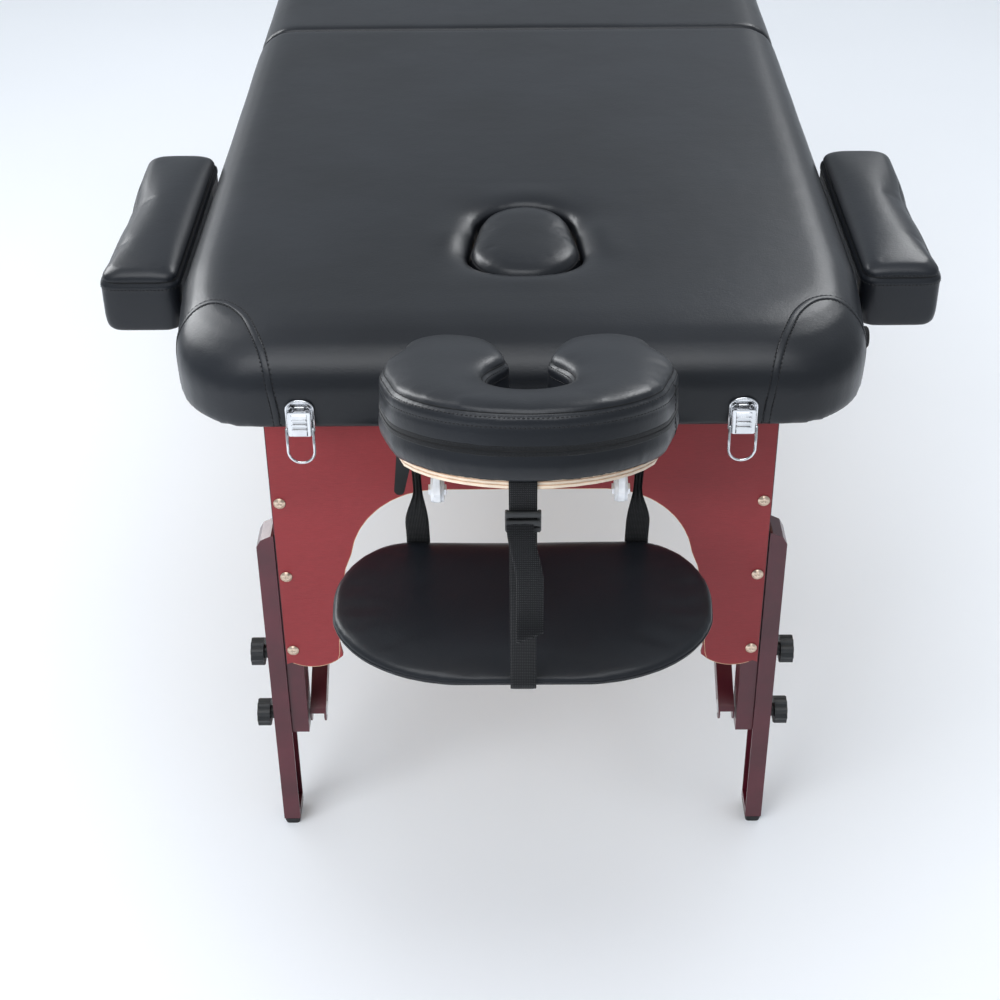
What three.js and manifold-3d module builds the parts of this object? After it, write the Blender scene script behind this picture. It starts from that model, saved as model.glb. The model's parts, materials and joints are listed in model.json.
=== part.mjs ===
// Folding portable massage table with an adjustable face rest, an arm shelf and two armrests.
// Millimetres, +Z up, +Y from the head end to the foot end, feet on Z = 0.
// The shapes are laid out with Y = 0 at the head end face, and moved by -CENTRE_Y at the end.
import * as THREE from "three";
import { mergeVertices } from "three/addons/utils/BufferGeometryUtils.js";
import Module from "manifold-3d";

// Table top
const HALF_WIDTH = 381;
const LENGTH = 1940;
const FOLD_Y = 970;
const FOLD_Z = 603.5;
const FOOT_END_TRIM = 2;
const PAD_BOTTOM = 606;
const PAD_TOP = 700;
const PAD_CORNER_R = 92;
const PAD_GAP = 1.5;
const SKIN = 19;
const RAIL = 20;
const RAIL_TOP = 652;
const DECK_TOP = 658;
const CLEAR = 0.5;
const BREATH_X = 6;
const BREATH_Y = 272;
const BREATH_HALF_X = 66;
const BREATH_HALF_Y = 92;

// Legs
const PIVOT_Y = 68;
const PIVOT_Z = 631.5;
const LEG_W = 20;
const LEG_HALF_D = 17;
const HEAD_LEG_X = 257;
const FOOT_LEG_X = 236;
const LEG_BOTTOM = 148;
const EXT_GAP = 0.5;
const EXT_FRONT = 21;
const EXT_WALL = 2.2;
const EXT_TOP_OUT = 424;
const EXT_TOP_IN = 439;
const SLOT = [66, 406];
const SLOT_W = 7.4;
const BOLT_Z = [165.5, 259];
const BOLT_R = 3;
const KNOB_R = 17;
const PANEL_T = 6;
const PANEL_TOP = 612;
const PANEL_BOTTOM = 254;
const ARCH_TOP = 502;
const ARCH_R = 100;

// Struts
const STRUT_Y = 868;
const STRUT_Z = 631.5;
const LOWER_LINK = 296;
const UPPER_LINK = 630;
const STRUT_W = 19;
const UPPER_W = 12;

// Face rest
const CRADLE_X = 6;
const ROD_X = 70;
const PLATE_X = 93;
const ROD_Z = 628;
const ROD_R = 8;
const REST_TILT = 14.6;
const REST_FRONT = [-287, 795];
const CUSHION_T = 60;
const CUSHION_CROWN = 9;
const BOARD_T = 9;

// Arm shelf
const SHELF_Z = 480;
const SHELF_HALF_X = 195;
const SHELF_Y = [-249, -22];
const SHELF_T = 28;

// Armrests
const ARM_X = [388.5, 478];
const ARM_Y = [230, 580];
const ARM_Z = [598, 665];

const wasm = await Module();
wasm.setup();
const { PI, sin, cos, hypot, atan2 } = Math;
const RAD = PI / 180;

// ---------- solids ----------
function solid(geometry) {
  const g = new THREE.BufferGeometry();
  const source = geometry.index ? geometry.toNonIndexed() : geometry;
  g.setAttribute("position", source.getAttribute("position").clone());
  const m = mergeVertices(g, 1e-3);
  return new wasm.Manifold(
    new wasm.Mesh({
      numProp: 3,
      vertProperties: m.attributes.position.array,
      triVerts: new Uint32Array(m.index.array),
    }),
  );
}

function geometryOf(manifold) {
  const m = manifold.getMesh();
  const g = new THREE.BufferGeometry();
  g.setAttribute("position", new THREE.BufferAttribute(m.vertProperties, 3));
  g.setIndex(new THREE.BufferAttribute(m.triVerts, 1));
  const flat = g.toNonIndexed();
  flat.computeVertexNormals();
  return flat;
}

const cut = (a, ...rest) => rest.reduce((m, b) => m.subtract(b), a);
const join = (a, ...rest) => rest.reduce((m, b) => m.add(b), a);

function box(x0, x1, y0, y1, z0, z1) {
  const g = new THREE.BoxGeometry(Math.abs(x1 - x0), y1 - y0, z1 - z0);
  g.translate((x0 + x1) / 2, (y0 + y1) / 2, (z0 + z1) / 2);
  return solid(g);
}

// A round bar between two points.
function bar(r, from, to, sides = 20) {
  const a = new THREE.Vector3(...from);
  const b = new THREE.Vector3(...to);
  const way = b.clone().sub(a);
  const g = new THREE.CylinderGeometry(r, r, way.length(), sides);
  const up = new THREE.Vector3(0, 1, 0);
  g.applyQuaternion(new THREE.Quaternion().setFromUnitVectors(up, way.clone().normalize()));
  g.translate((a.x + b.x) / 2, (a.y + b.y) / 2, (a.z + b.z) / 2);
  return solid(g);
}

// An outline in (x, y) raised from z0 to z1.
function raised(outline, z0, z1, holes = []) {
  const shape = new THREE.Shape(outline);
  holes.forEach((h) => shape.holes.push(new THREE.Path(h)));
  const g = new THREE.ExtrudeGeometry(shape, { depth: z1 - z0, bevelEnabled: false });
  g.translate(0, 0, z0);
  return solid(g);
}

// An outline in (y, z) with its thickness from x0 to x1.
function sideways(outline, x0, x1) {
  const g = new THREE.ExtrudeGeometry(new THREE.Shape(outline), {
    depth: x1 - x0,
    bevelEnabled: false,
  });
  const m = new THREE.Matrix4().set(0, 0, 1, x0, 1, 0, 0, 0, 0, 1, 0, 0, 0, 0, 0, 1);
  g.applyMatrix4(m);
  return solid(g);
}

// An outline in (x, z) with its thickness from y0 to y1.
function facing(outline, y0, y1, holes = []) {
  const shape = new THREE.Shape(outline);
  holes.forEach((h) => shape.holes.push(new THREE.Path(h)));
  const g = new THREE.ExtrudeGeometry(shape, { depth: y1 - y0, bevelEnabled: false });
  const m = new THREE.Matrix4().set(1, 0, 0, 0, 0, 0, -1, y1, 0, 1, 0, 0, 0, 0, 0, 1);
  g.applyMatrix4(m);
  return solid(g);
}

const P = (x, y) => new THREE.Vector2(x, y);

function arc(cx, cy, r, a0, a1, n, ry = r) {
  const points = [];
  for (let i = 0; i <= n; i++) {
    const a = (a0 + ((a1 - a0) * i) / n) * RAD;
    points.push(P(cx + r * cos(a), cy + ry * sin(a)));
  }
  return points;
}

// A rectangle with its own radius at each end: rLow at the y0 corners, rHigh at the y1 corners.
function roundRect(x0, x1, y0, y1, rLow, rHigh = rLow, n = 6) {
  return [
    ...arc(x0 + rLow, y0 + rLow, rLow, 180, 270, n),
    ...arc(x1 - rLow, y0 + rLow, rLow, 270, 360, n),
    ...arc(x1 - rHigh, y1 - rHigh, rHigh, 0, 90, n),
    ...arc(x0 + rHigh, y1 - rHigh, rHigh, 90, 180, n),
  ];
}

// A closed skin over outlines that all have the same number of points, each at its own height.
function stacked(levels) {
  const n = levels[0].outline.length;
  const positions = [];
  const triangles = [];
  levels.forEach((l) => l.outline.forEach((p) => positions.push(p.x, p.y, l.z)));
  for (let k = 0; k + 1 < levels.length; k++)
    for (let i = 0; i < n; i++) {
      const a = k * n + i;
      const b = k * n + ((i + 1) % n);
      triangles.push(a, b, b + n, a, b + n, a + n);
    }
  const top = (levels.length - 1) * n;
  THREE.ShapeUtils.triangulateShape(levels[0].outline, []).forEach(([a, b, c]) => {
    triangles.push(a, c, b);
  });
  THREE.ShapeUtils.triangulateShape(levels.at(-1).outline, []).forEach(([a, b, c]) => {
    triangles.push(top + a, top + b, top + c);
  });
  const g = new THREE.BufferGeometry();
  g.setAttribute("position", new THREE.Float32BufferAttribute(positions, 3));
  g.setIndex(triangles);
  return solid(g);
}

const flipY = (m) => m.mirror([0, 1, 0]).translate([0, 2 * FOLD_Y, 0]);
const flipX = (m) => m.mirror([1, 0, 0]);

// ---------- finishes ----------
function paint(color, roughness, metalness = 0) {
  return new THREE.MeshStandardMaterial({ color, roughness, metalness });
}
const VINYL = paint(0x16181c, 0.5);
const BIRCH = paint(0xc9a878, 0.6);
const PANEL_RED = paint(0x8e2b33, 0.55);
const LEG_RED = paint(0x4a1018, 0.35);
const STEEL = paint(0xb9bcc0, 0.35, 1);
const CHROME = paint(0xe2e4e6, 0.12, 1);
const PLASTIC = paint(0x121212, 0.5);
const RUBBER = paint(0x0c0c0c, 0.8);
const WEBBING = paint(0x0e0e0f, 0.9);

const table = new THREE.Group();
table.name = "portable_massage_table";
const parts = [];
function add(name, manifold, material) {
  const mesh = new THREE.Mesh(geometryOf(manifold), material);
  mesh.name = name;
  parts.push(mesh);
}

// ---------- table top ----------
// The outline of a half top at an inset from its padding, x and the end inset by their own amounts.
function topOutline(side, end, corner) {
  const fold = FOLD_Y - PAD_GAP;
  return roundRect(-HALF_WIDTH + side, HALF_WIDTH - side, end, fold, corner, 10, 7);
}

function frameSolid(trim, withSockets) {
  const outer = roundRect(-HALF_WIDTH + SKIN, HALF_WIDTH - SKIN, trim + 17, FOLD_Y - 2.5, 73, 4, 6);
  const inside = HALF_WIDTH - SKIN - RAIL;
  const inner = roundRect(-inside, inside, trim + 17 + RAIL, FOLD_Y - 2.5 - RAIL, 53, 4, 6);
  let frame = raised(outer, PAD_BOTTOM, DECK_TOP);
  frame = cut(frame, raised(inner, PAD_BOTTOM - 5, RAIL_TOP));
  const inX = (withSockets ? HEAD_LEG_X : FOOT_LEG_X) + LEG_W;
  for (const s of [-1, 1]) {
    const between = (a, b) => [Math.min(s * a, s * b), Math.max(s * a, s * b)];
    const [a0, a1] = between(inX + 0.5, inside + 5);
    frame = join(frame, box(a0, a1, PIVOT_Y - 20, PIVOT_Y + 22, 612, RAIL_TOP + 1));
    const [b0, b1] = between(inX - LEG_W - STRUT_W - 2, inside + 5);
    frame = join(frame, box(b0, b1, STRUT_Y - 14, STRUT_Y + 18, 612, RAIL_TOP + 1));
    if (withSockets) {
      const x = CRADLE_X + s * ROD_X;
      frame = join(frame, box(x - 15, x + 15, 30, 150, 616, RAIL_TOP + 1));
      frame = cut(frame, bar(ROD_R + 0.5, [x, 0, ROD_Z], [x, 156, ROD_Z], 20));
    }
    for (const y of [ARM_Y[0] + 85, ARM_Y[1] - 85])
      if (withSockets) {
        frame = cut(frame, bar(7.5, [s * 330, y, 626], [s * 370, y, 626], 16));
      }
  }
  return frame;
}

function breathOutline(gap) {
  const hx = BREATH_HALF_X + gap;
  const hy = BREATH_HALF_Y + gap;
  const wide = arc(BREATH_X, BREATH_Y - hy + 56, hx, 180, 360, 12, 56);
  const narrow = arc(BREATH_X, BREATH_Y + hy - 50, hx - 8, 0, 180, 12, 50);
  return [...wide, ...narrow];
}

function padSolid(trim, withSockets) {
  const rollSide = 52;
  const rollEnd = 84;
  const rollTop = 50;
  const levels = [
    { z: PAD_BOTTOM, outline: topOutline(3, trim + 3, PAD_CORNER_R - 3) },
    { z: PAD_BOTTOM + 5, outline: topOutline(0.4, trim + 0.4, PAD_CORNER_R) },
    { z: PAD_TOP - rollTop, outline: topOutline(0, trim, PAD_CORNER_R) },
  ];
  for (let i = 1; i <= 5; i++) {
    const a = (i / 5) * 90 * RAD;
    const inset = 1 - cos(a);
    levels.push({
      z: PAD_TOP - rollTop * (1 - sin(a)),
      outline: topOutline(rollSide * inset, trim + rollEnd * inset, PAD_CORNER_R),
    });
  }
  let pad = stacked(levels);
  const bed = HALF_WIDTH - SKIN + CLEAR;
  const pocket = roundRect(-bed, bed, trim + 17 - CLEAR, FOLD_Y + 20, 73, 3, 6);
  pad = cut(pad, raised(pocket, PAD_BOTTOM - 5, DECK_TOP + CLEAR));
  if (withSockets)
    for (const s of [-1, 1]) {
      const x = CRADLE_X + s * ROD_X;
      pad = cut(pad, bar(ROD_R + 1.5, [x, -10, ROD_Z], [x, 40, ROD_Z], 20));
      for (const y of [ARM_Y[0] + 85, ARM_Y[1] - 85])
        pad = cut(pad, bar(8.5, [s * 350, y, 626], [s * 392, y, 626], 16));
    }
  return pad;
}

let headFrame = frameSolid(0, true);
headFrame = cut(headFrame, raised(breathOutline(2), 640, 670));
let headPad = padSolid(0, true);
headPad = cut(headPad, raised(breathOutline(0), 640, PAD_TOP + 10));
add("head_frame", headFrame, BIRCH);
add("head_pad", headPad, VINYL);
add("foot_frame", flipY(frameSolid(FOOT_END_TRIM, false)), BIRCH);
add("foot_pad", flipY(padSolid(FOOT_END_TRIM, false)), VINYL);

// The plug that fills the breathing hole, narrower below so it lifts straight out.
add(
  "breath_plug",
  stacked([
    { z: 648, outline: breathOutline(-13) },
    { z: 655, outline: breathOutline(-11) },
    { z: PAD_TOP - 12, outline: breathOutline(-11) },
    { z: PAD_TOP - 3, outline: breathOutline(-16) },
    { z: PAD_TOP, outline: breathOutline(-26) },
  ]),
  VINYL,
);

// Butt hinge along the fold, its leaves under the two rails and its knuckles in the gap.
function hingeLeaf(knuckles) {
  let leaf = box(-300, 300, FOLD_Y - 22, FOLD_Y - 3.2, PAD_BOTTOM - 1.9, PAD_BOTTOM - 0.3);
  for (const [x0, x1] of knuckles) {
    leaf = join(leaf, bar(1.9, [x0, FOLD_Y, FOLD_Z], [x1, FOLD_Y, FOLD_Z], 14));
    leaf = join(leaf, box(x0, x1, FOLD_Y - 4, FOLD_Y, FOLD_Z + 0.6, FOLD_Z + 1.9));
  }
  return leaf;
}
add("hinge_leaf_head", hingeLeaf([[-290, -190], [-90, 90], [190, 290]]), STEEL);
add("hinge_leaf_foot", flipY(hingeLeaf([[-188, -92], [92, 188]])), STEEL);

// ---------- leg sets ----------
function panelSolid(half) {
  const arch = half / 275;
  const foot = 254;
  const outline = [
    P(half, foot + 4),
    P(half, PANEL_TOP),
    P(-half, PANEL_TOP),
    P(-half, foot + 4),
    ...arc(-half + 30, foot + 42, 46, 238, 322, 6, 42).map((p) => P(Math.max(p.x, 2 - half), p.y)),
    P(-212 * arch, 290),
    P(-209 * arch, 330),
    P(-199 * arch, 395),
    ...arc(-92 * arch, ARCH_TOP - ARCH_R, ARCH_R, 172, 90, 8),
    ...arc(92 * arch, ARCH_TOP - ARCH_R, ARCH_R, 90, 8, 8),
    P(199 * arch, 395),
    P(209 * arch, 330),
    P(212 * arch, 290),
    ...arc(half - 30, foot + 42, 46, 218, 302, 6, 42).map((p) => P(Math.min(p.x, half - 2), p.y)),
  ];
  return facing(outline, PIVOT_Y - LEG_HALF_D - PANEL_T - 0.3, PIVOT_Y - LEG_HALF_D - 0.3);
}

// Inner leg on the +X side: a bar with a round top about its pivot.
function innerLeg(x) {
  const d = LEG_HALF_D;
  const outline = [
    P(PIVOT_Y - d, LEG_BOTTOM),
    P(PIVOT_Y + d, LEG_BOTTOM),
    ...arc(PIVOT_Y, PIVOT_Z, d, 0, 180, 10),
  ];
  let leg = sideways(outline, x, x + LEG_W);
  for (const z of BOLT_Z)
    leg = cut(leg, bar(BOLT_R + 0.5, [x - 1, PIVOT_Y, z], [x + LEG_W + 1, PIVOT_Y, z], 12));
  return leg;
}

// Extension leg on the +X side: a channel that wraps the outside of the inner leg.
function extensionLeg(x) {
  const x0 = x + LEG_W + EXT_GAP;
  const x1 = x0 + LEG_W;
  const y0 = PIVOT_Y - EXT_FRONT;
  const y1 = PIVOT_Y + LEG_HALF_D;
  let leg = facing(
    [
      P(x0, 9),
      P(x1, 9),
      P(x1, EXT_TOP_OUT),
      P(x1 - 5, EXT_TOP_OUT + 9),
      P(x0 + 3, EXT_TOP_IN),
      P(x0, EXT_TOP_IN),
    ],
    y0,
    y1,
  );
  leg = cut(leg, box(x0 - 1, x1 - EXT_WALL, y0 + EXT_WALL, y1 - EXT_WALL, 20, EXT_TOP_OUT - 6));
  const slotZ = box(x0, x1 + 1, PIVOT_Y - SLOT_W / 2, PIVOT_Y + SLOT_W / 2, SLOT[0], SLOT[1]);
  return cut(leg, slotZ);
}

function rubberFoot(x) {
  const x0 = x + LEG_W + EXT_GAP;
  const y0 = PIVOT_Y - EXT_FRONT;
  const y1 = PIVOT_Y + LEG_HALF_D;
  const outline = (grow) => roundRect(x0 - grow, x0 + LEG_W + grow, y0 - grow, y1 + grow, 4, 4, 3);
  return stacked([
    { z: 0, outline: outline(-1.5) },
    { z: 8.7, outline: outline(0.2) },
  ]);
}

// Clamp knob: a fluted head, a neck and the bolt through the slot into the inner leg.
function knob(x, z) {
  const outer = x + 2 * LEG_W + EXT_GAP;
  const outline = [];
  const flutes = 10;
  for (let i = 0; i < flutes * 4; i++) {
    const a = (i / (flutes * 4)) * 2 * PI;
    const r = KNOB_R - 0.9 + 0.9 * cos(flutes * a);
    outline.push(P(PIVOT_Y + r * cos(a), z + r * sin(a)));
  }
  const head = sideways(outline, outer + 6, outer + 21);
  const neck = bar(8, [outer + 0.4, PIVOT_Y, z], [outer + 8, PIVOT_Y, z], 16);
  const bolt = bar(BOLT_R, [x + 6, PIVOT_Y, z], [outer + 2, PIVOT_Y, z], 12);
  return join(head, neck, bolt);
}

// Strut links lie along the line from the leg's lower bolt to the anchor under the deck.
const strutAngle = atan2(STRUT_Z - BOLT_Z[0], STRUT_Y - PIVOT_Y) / RAD;
function linkOutline(from, to, r) {
  return [P(to, -r), ...arc(to, 0, r, -60, 60, 4), P(from, r), ...arc(from, 0, r, 120, 240, 4)];
}
function lowerLink(x) {
  const r = 11;
  let link = sideways(linkOutline(0, LOWER_LINK, r), x - STRUT_W - 1.5, x - 1.5);
  const groove = box(x - STRUT_W + 0.5, x - 3.5, -18, LOWER_LINK + 20, -20, r - 2);
  link = cut(link, groove);
  return link.rotate([strutAngle, 0, 0]).translate([0, PIVOT_Y, BOLT_Z[0]]);
}
function upperLink(x) {
  const end = LOWER_LINK + UPPER_LINK;
  const x1 = x - STRUT_W - 2.5;
  const link = sideways(linkOutline(LOWER_LINK, end, 8), x1 - UPPER_W, x1);
  return link.rotate([strutAngle, 0, 0]).translate([0, PIVOT_Y, BOLT_Z[0]]);
}

function legSet(name, x, toEnd) {
  add(name + "_panel", toEnd(panelSolid(x + 18)), PANEL_RED);
  for (const [side, turn] of [["left", flipX], ["right", (m) => m]]) {
    const put = (part, m, material) => add(name + "_" + part + "_" + side, toEnd(turn(m)), material);
    put("leg", innerLeg(x), LEG_RED);
    put("extension", extensionLeg(x), LEG_RED);
    put("foot", rubberFoot(x), RUBBER);
    put("knob_low", knob(x, BOLT_Z[0]), PLASTIC);
    put("knob_high", knob(x, BOLT_Z[1]), PLASTIC);
    put("strut_lower", lowerLink(x), LEG_RED);
    put("strut_upper", upperLink(x), LEG_RED);
  }
}
legSet("head", HEAD_LEG_X, (m) => m);
legSet("foot", FOOT_LEG_X, flipY);

// ---------- draw latches that hold the folded halves together ----------
const LATCH_X = 229.5;
const LATCH_PIVOT_Z = 611;
function latchBase(x) {
  const plate = [P(x - 16, 626), P(x - 16, 602), P(x + 16, 602), P(x + 16, 626)];
  plate.push(...arc(x, 626, 15.5, 10, 170, 8, 15));
  let base = facing(plate, -2, -0.3);
  for (const s of [-1, 1]) {
    const xa = x + s * 12.6;
    base = join(base, box(xa - 0.9, xa + 0.9, -11, -1.5, 605, 617));
  }
  return base;
}
function latchLever(x) {
  let lever = box(x - 11, x + 11, -11.5, -9.7, 606, 634);
  for (let i = 0; i < 4; i++) {
    const z = 612 + i * 5.5;
    lever = join(lever, box(x - 8, x + 8, -13, -11, z, z + 2.4));
  }
  lever = join(lever, bar(2, [x - 11, -7.6, LATCH_PIVOT_Z], [x + 11, -7.6, LATCH_PIVOT_Z], 12));
  return join(lever, box(x - 10.5, x + 10.5, -10, -8, 608, 614));
}
function latchBail(x) {
  const r = 1.6;
  const corners = [[-15.6, 615], [-15.6, 580], [-10, 573], [10, 573], [15.6, 580], [15.6, 615]];
  const points = corners.map(([dx, z]) => new THREE.Vector3(x + dx, -10.2, z));
  let wire = null;
  for (let i = 0; i + 1 < points.length; i++) {
    const piece = bar(r, points[i].toArray(), points[i + 1].toArray(), 8);
    const ball = new THREE.SphereGeometry(r, 8, 6);
    ball.translate(points[i + 1].x, points[i + 1].y, points[i + 1].z);
    wire = wire ? join(wire, piece, solid(ball)) : join(piece, solid(ball));
  }
  return wire;
}
for (const [side, x] of [["left", -LATCH_X], ["right", LATCH_X]]) {
  add("latch_base_" + side, latchBase(x), CHROME);
  add("latch_lever_" + side, latchLever(x), CHROME);
  add("latch_bail_" + side, latchBail(x), CHROME);
}

// ---------- armrests ----------
function armrestPad() {
  const [x0, x1] = ARM_X;
  const [y0, y1] = ARM_Y;
  const [z0, z1] = ARM_Z;
  const outline = (inset) => roundRect(x0 + inset, x1 - inset, y0 + inset, y1 - inset, 16, 16, 4);
  return stacked([
    { z: z0, outline: outline(3) },
    { z: z0 + 6, outline: outline(0) },
    { z: z1 - 12, outline: outline(0) },
    { z: z1 - 4, outline: outline(4) },
    { z: z1, outline: outline(12) },
  ]);
}
function armrestRods() {
  let m = box(384.2, 388.2, ARM_Y[0] + 60, ARM_Y[1] - 60, 612, 640);
  for (const y of [ARM_Y[0] + 85, ARM_Y[1] - 85]) m = join(m, bar(7, [327, y, 626], [386, y, 626], 16));
  return m;
}
add("armrest_pad_left", flipX(armrestPad()), VINYL);
add("armrest_pad_right", armrestPad(), VINYL);
add("armrest_rods_left", flipX(armrestRods()), STEEL);
add("armrest_rods_right", armrestRods(), STEEL);

// ---------- face rest ----------
// Seen square on, with y from the front edge towards the table.
function horseshoe(inset) {
  const w = 137 - inset;
  const l = 262;
  const slot = 24 + inset;
  const hole = 38 + inset;
  return [
    ...arc(0, 128, w, 205, 335, 14, 128 - inset),
    ...arc(0, 150, w + 3, 350, 395, 5, 120),
    ...arc(80, l - 58 - inset * 0.3, 50 - inset, 20, 140, 7, 54 - inset),
    P(slot + 6, l - 66),
    P(slot + 1, l - 88),
    ...arc(0, 118, hole, 25, -205, 14, 46 + inset).map((p) => P(p.x, p.y)),
    P(-slot - 1, l - 88),
    P(-slot - 6, l - 66),
    ...arc(-80, l - 58 - inset * 0.3, 50 - inset, 40, 160, 7, 54 - inset),
    ...arc(0, 150, w + 3, 145, 190, 5, 120),
  ];
}
const tilt = REST_TILT * RAD;
// Places a solid made square on, with its z = 0 on the cushion's upper seam.
function onRest(m) {
  return m.rotate([-REST_TILT, 0, 0]).translate([CRADLE_X, REST_FRONT[0], REST_FRONT[1]]);
}
function cushionSolid() {
  const t = CUSHION_T;
  return stacked([
    { z: -t, outline: horseshoe(4) },
    { z: -t + 8, outline: horseshoe(0) },
    { z: 0, outline: horseshoe(0) },
    { z: CUSHION_CROWN * 0.7, outline: horseshoe(7) },
    { z: CUSHION_CROWN, outline: horseshoe(18) },
  ]);
}
const BOARD_TOP = -CUSHION_T - 0.4;
const BOARD_LOW = BOARD_TOP - BOARD_T;
add("face_cushion", onRest(cushionSolid()), VINYL);
add("rest_board", onRest(raised(horseshoe(12), BOARD_LOW, BOARD_TOP)), BIRCH);

// Points on the tilted rest, as (y, z) in the table's own frame.
function restPoint(y, z) {
  return [REST_FRONT[0] + y * cos(tilt) + z * sin(tilt), REST_FRONT[1] - y * sin(tilt) + z * cos(tilt)];
}
const BOARD_PIVOT = restPoint(178, BOARD_LOW - 11);
const BASE_PIVOT = [-34, ROD_Z];
const AXLE_R = 3.5;

// A bar along X through the (y, z) point, between two distances from the face rest's middle.
const crossBar = (r, a, b, [y, z], n = 14) => bar(r, [CRADLE_X + a, y, z], [CRADLE_X + b, y, z], n);

// Two ears under the board, joined by a strap across it.
function restBracket() {
  const low = BOARD_LOW - 0.4;
  const y = 178;
  let m = box(-PLATE_X - 2, PLATE_X + 2, y - 13, y + 13, low - 2, low);
  for (const s of [-1, 1]) {
    const outline = [P(y + 12, low - 1), P(y - 12, low - 1), ...arc(y, low - 10.6, 9, 190, 350, 6)];
    m = join(m, sideways(outline, s * PLATE_X - 2, s * PLATE_X + 2));
  }
  return cut(onRest(m), crossBar(AXLE_R + 0.6, -120, 120, BOARD_PIVOT));
}
add("rest_bracket", restBracket(), STEEL);

// Lifting arms: two flat bars outside the ears, with the axle that carries the board.
function restArms() {
  const [y0, z0] = BASE_PIVOT;
  const [y1, z1] = BOARD_PIVOT;
  const a = atan2(z1 - z0, y1 - y0) / RAD;
  const outline = [...arc(y0, z0, 12, a + 90, a + 270, 8), ...arc(y1, z1, 9, a - 90, a + 90, 8)];
  let m = crossBar(AXLE_R, -PLATE_X - 8, PLATE_X + 8, BOARD_PIVOT);
  for (const s of [-1, 1]) {
    const x = CRADLE_X + s * (PLATE_X + 5.2);
    m = join(m, sideways(outline, x - 2.5, x + 2.5));
  }
  return cut(m, crossBar(7.6, -120, 120, BASE_PIVOT, 18));
}
add("rest_arms", restArms(), STEEL);

// Sliding base: a cross tube with two rods that go into the end rail.
function restBase() {
  const [y, z] = BASE_PIVOT;
  let m = crossBar(7, -PLATE_X - 12, PLATE_X + 12, BASE_PIVOT, 16);
  for (const s of [-1, 1]) {
    const x = CRADLE_X + s * ROD_X;
    m = join(m, bar(ROD_R, [x, y, z], [x, 140, z], 16));
  }
  return join(m, crossBar(AXLE_R, -PLATE_X - 20, 0, BASE_PIVOT));
}
add("rest_base", restBase(), STEEL);

// Cam lever on the left end of the base's axle.
const CAM_X = CRADLE_X - PLATE_X - 31;
function camLever() {
  const outline = [
    ...arc(CAM_X, ROD_Z, 9.5, 20, 160, 8),
    P(CAM_X - 10, ROD_Z - 22),
    ...arc(CAM_X - 9, ROD_Z - 70, 5.5, 180, 350, 6),
    P(CAM_X + 9, ROD_Z - 16),
  ];
  return facing(outline, BASE_PIVOT[0] - 8, BASE_PIVOT[0] + 8);
}
add("cam_lever", camLever(), PLASTIC);

// ---------- arm shelf and the webbing it hangs on ----------
function shelfOutline(inset) {
  const x = SHELF_HALF_X - inset;
  const [y0, y1] = [SHELF_Y[0] + inset, SHELF_Y[1] - inset];
  const r = 95 - inset;
  return [
    ...arc(-x + r + 45, y0 + 118, r + 45, 190, 262, 9, 118),
    ...arc(x - r - 45, y0 + 118, r + 45, 278, 350, 9, 118),
    ...arc(x - 78, y1 - 90, 78, 0, 84, 7, 90),
    ...arc(-x + 78, y1 - 90, 78, 96, 180, 7, 90),
  ];
}
const SHELF_LOW = SHELF_Z - SHELF_T;
add(
  "arm_shelf",
  stacked([
    { z: SHELF_LOW, outline: shelfOutline(5) },
    { z: SHELF_LOW + 5, outline: shelfOutline(0) },
    { z: SHELF_Z - 10, outline: shelfOutline(0) },
    { z: SHELF_Z - 3, outline: shelfOutline(5) },
    { z: SHELF_Z, outline: shelfOutline(16) },
  ]),
  VINYL,
);

// A flat band through (y, z) points, its outline made by offsetting the line to both sides.
function band(points, thick, x0, x1) {
  const side = (k) =>
    points.map(([y, z], i) => {
      const [ya, za] = points[Math.max(i - 1, 0)];
      const [yb, zb] = points[Math.min(i + 1, points.length - 1)];
      const d = hypot(yb - ya, zb - za);
      return P(y + (k * thick * (zb - za)) / d, z - (k * thick * (yb - ya)) / d);
    });
  return sideways([...side(-0.5), ...side(0.5).reverse()], x0, x1);
}
const STRAP_W = 25;
const STRAP_T = 2;
const frontTop = restPoint(12, BOARD_LOW - 2.2);
const f = SHELF_Y[0];
add(
  "strap_front",
  band(
    [
      frontTop,
      [f - 12, SHELF_Z + 60],
      [f - 2.5, SHELF_Z - 2],
      [f - 2.5, SHELF_LOW + 1],
      [f + 5, SHELF_LOW - 2],
      [f + 40, SHELF_LOW - 2],
    ],
    STRAP_T,
    -STRAP_W / 2,
    STRAP_W / 2,
  ),
  WEBBING,
);
const rearTop = restPoint(215, BOARD_LOW - 2.2);
const r = SHELF_Y[1];
for (const [side, s] of [["left", -1], ["right", 1]]) {
  const x = CRADLE_X + s * 117;
  const route = [
    rearTop,
    [r + 2.5, SHELF_Z + 8],
    [r + 2.5, SHELF_LOW],
    [r - 6, SHELF_LOW - 2],
    [r - 40, SHELF_LOW - 2],
  ];
  const strap = band(route, STRAP_T, x - STRAP_W / 2, x + STRAP_W / 2);
  add("strap_rear_" + side, strap, WEBBING);
}

// Ladder lock on the front strap.
const LOCK_Z = SHELF_Z + 212;
const along = atan2(frontTop[1] - SHELF_Z - 60, frontTop[0] - f + 12) / RAD;
let lock = box(-17, 17, -13, 13, 1.6, 5.6);
lock = cut(lock, box(-13, 13, -9, -5, 0, 7), box(-13, 13, 3, 7, 0, 7));
const lockRatio = (LOCK_Z - (SHELF_Z + 60)) / (frontTop[1] - SHELF_Z - 60);
const lockY = f - 12 + (frontTop[0] - f + 12) * lockRatio;
add("strap_lock", lock.rotate([along, 0, 0]).translate([0, lockY, LOCK_Z]), PLASTIC);

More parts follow.
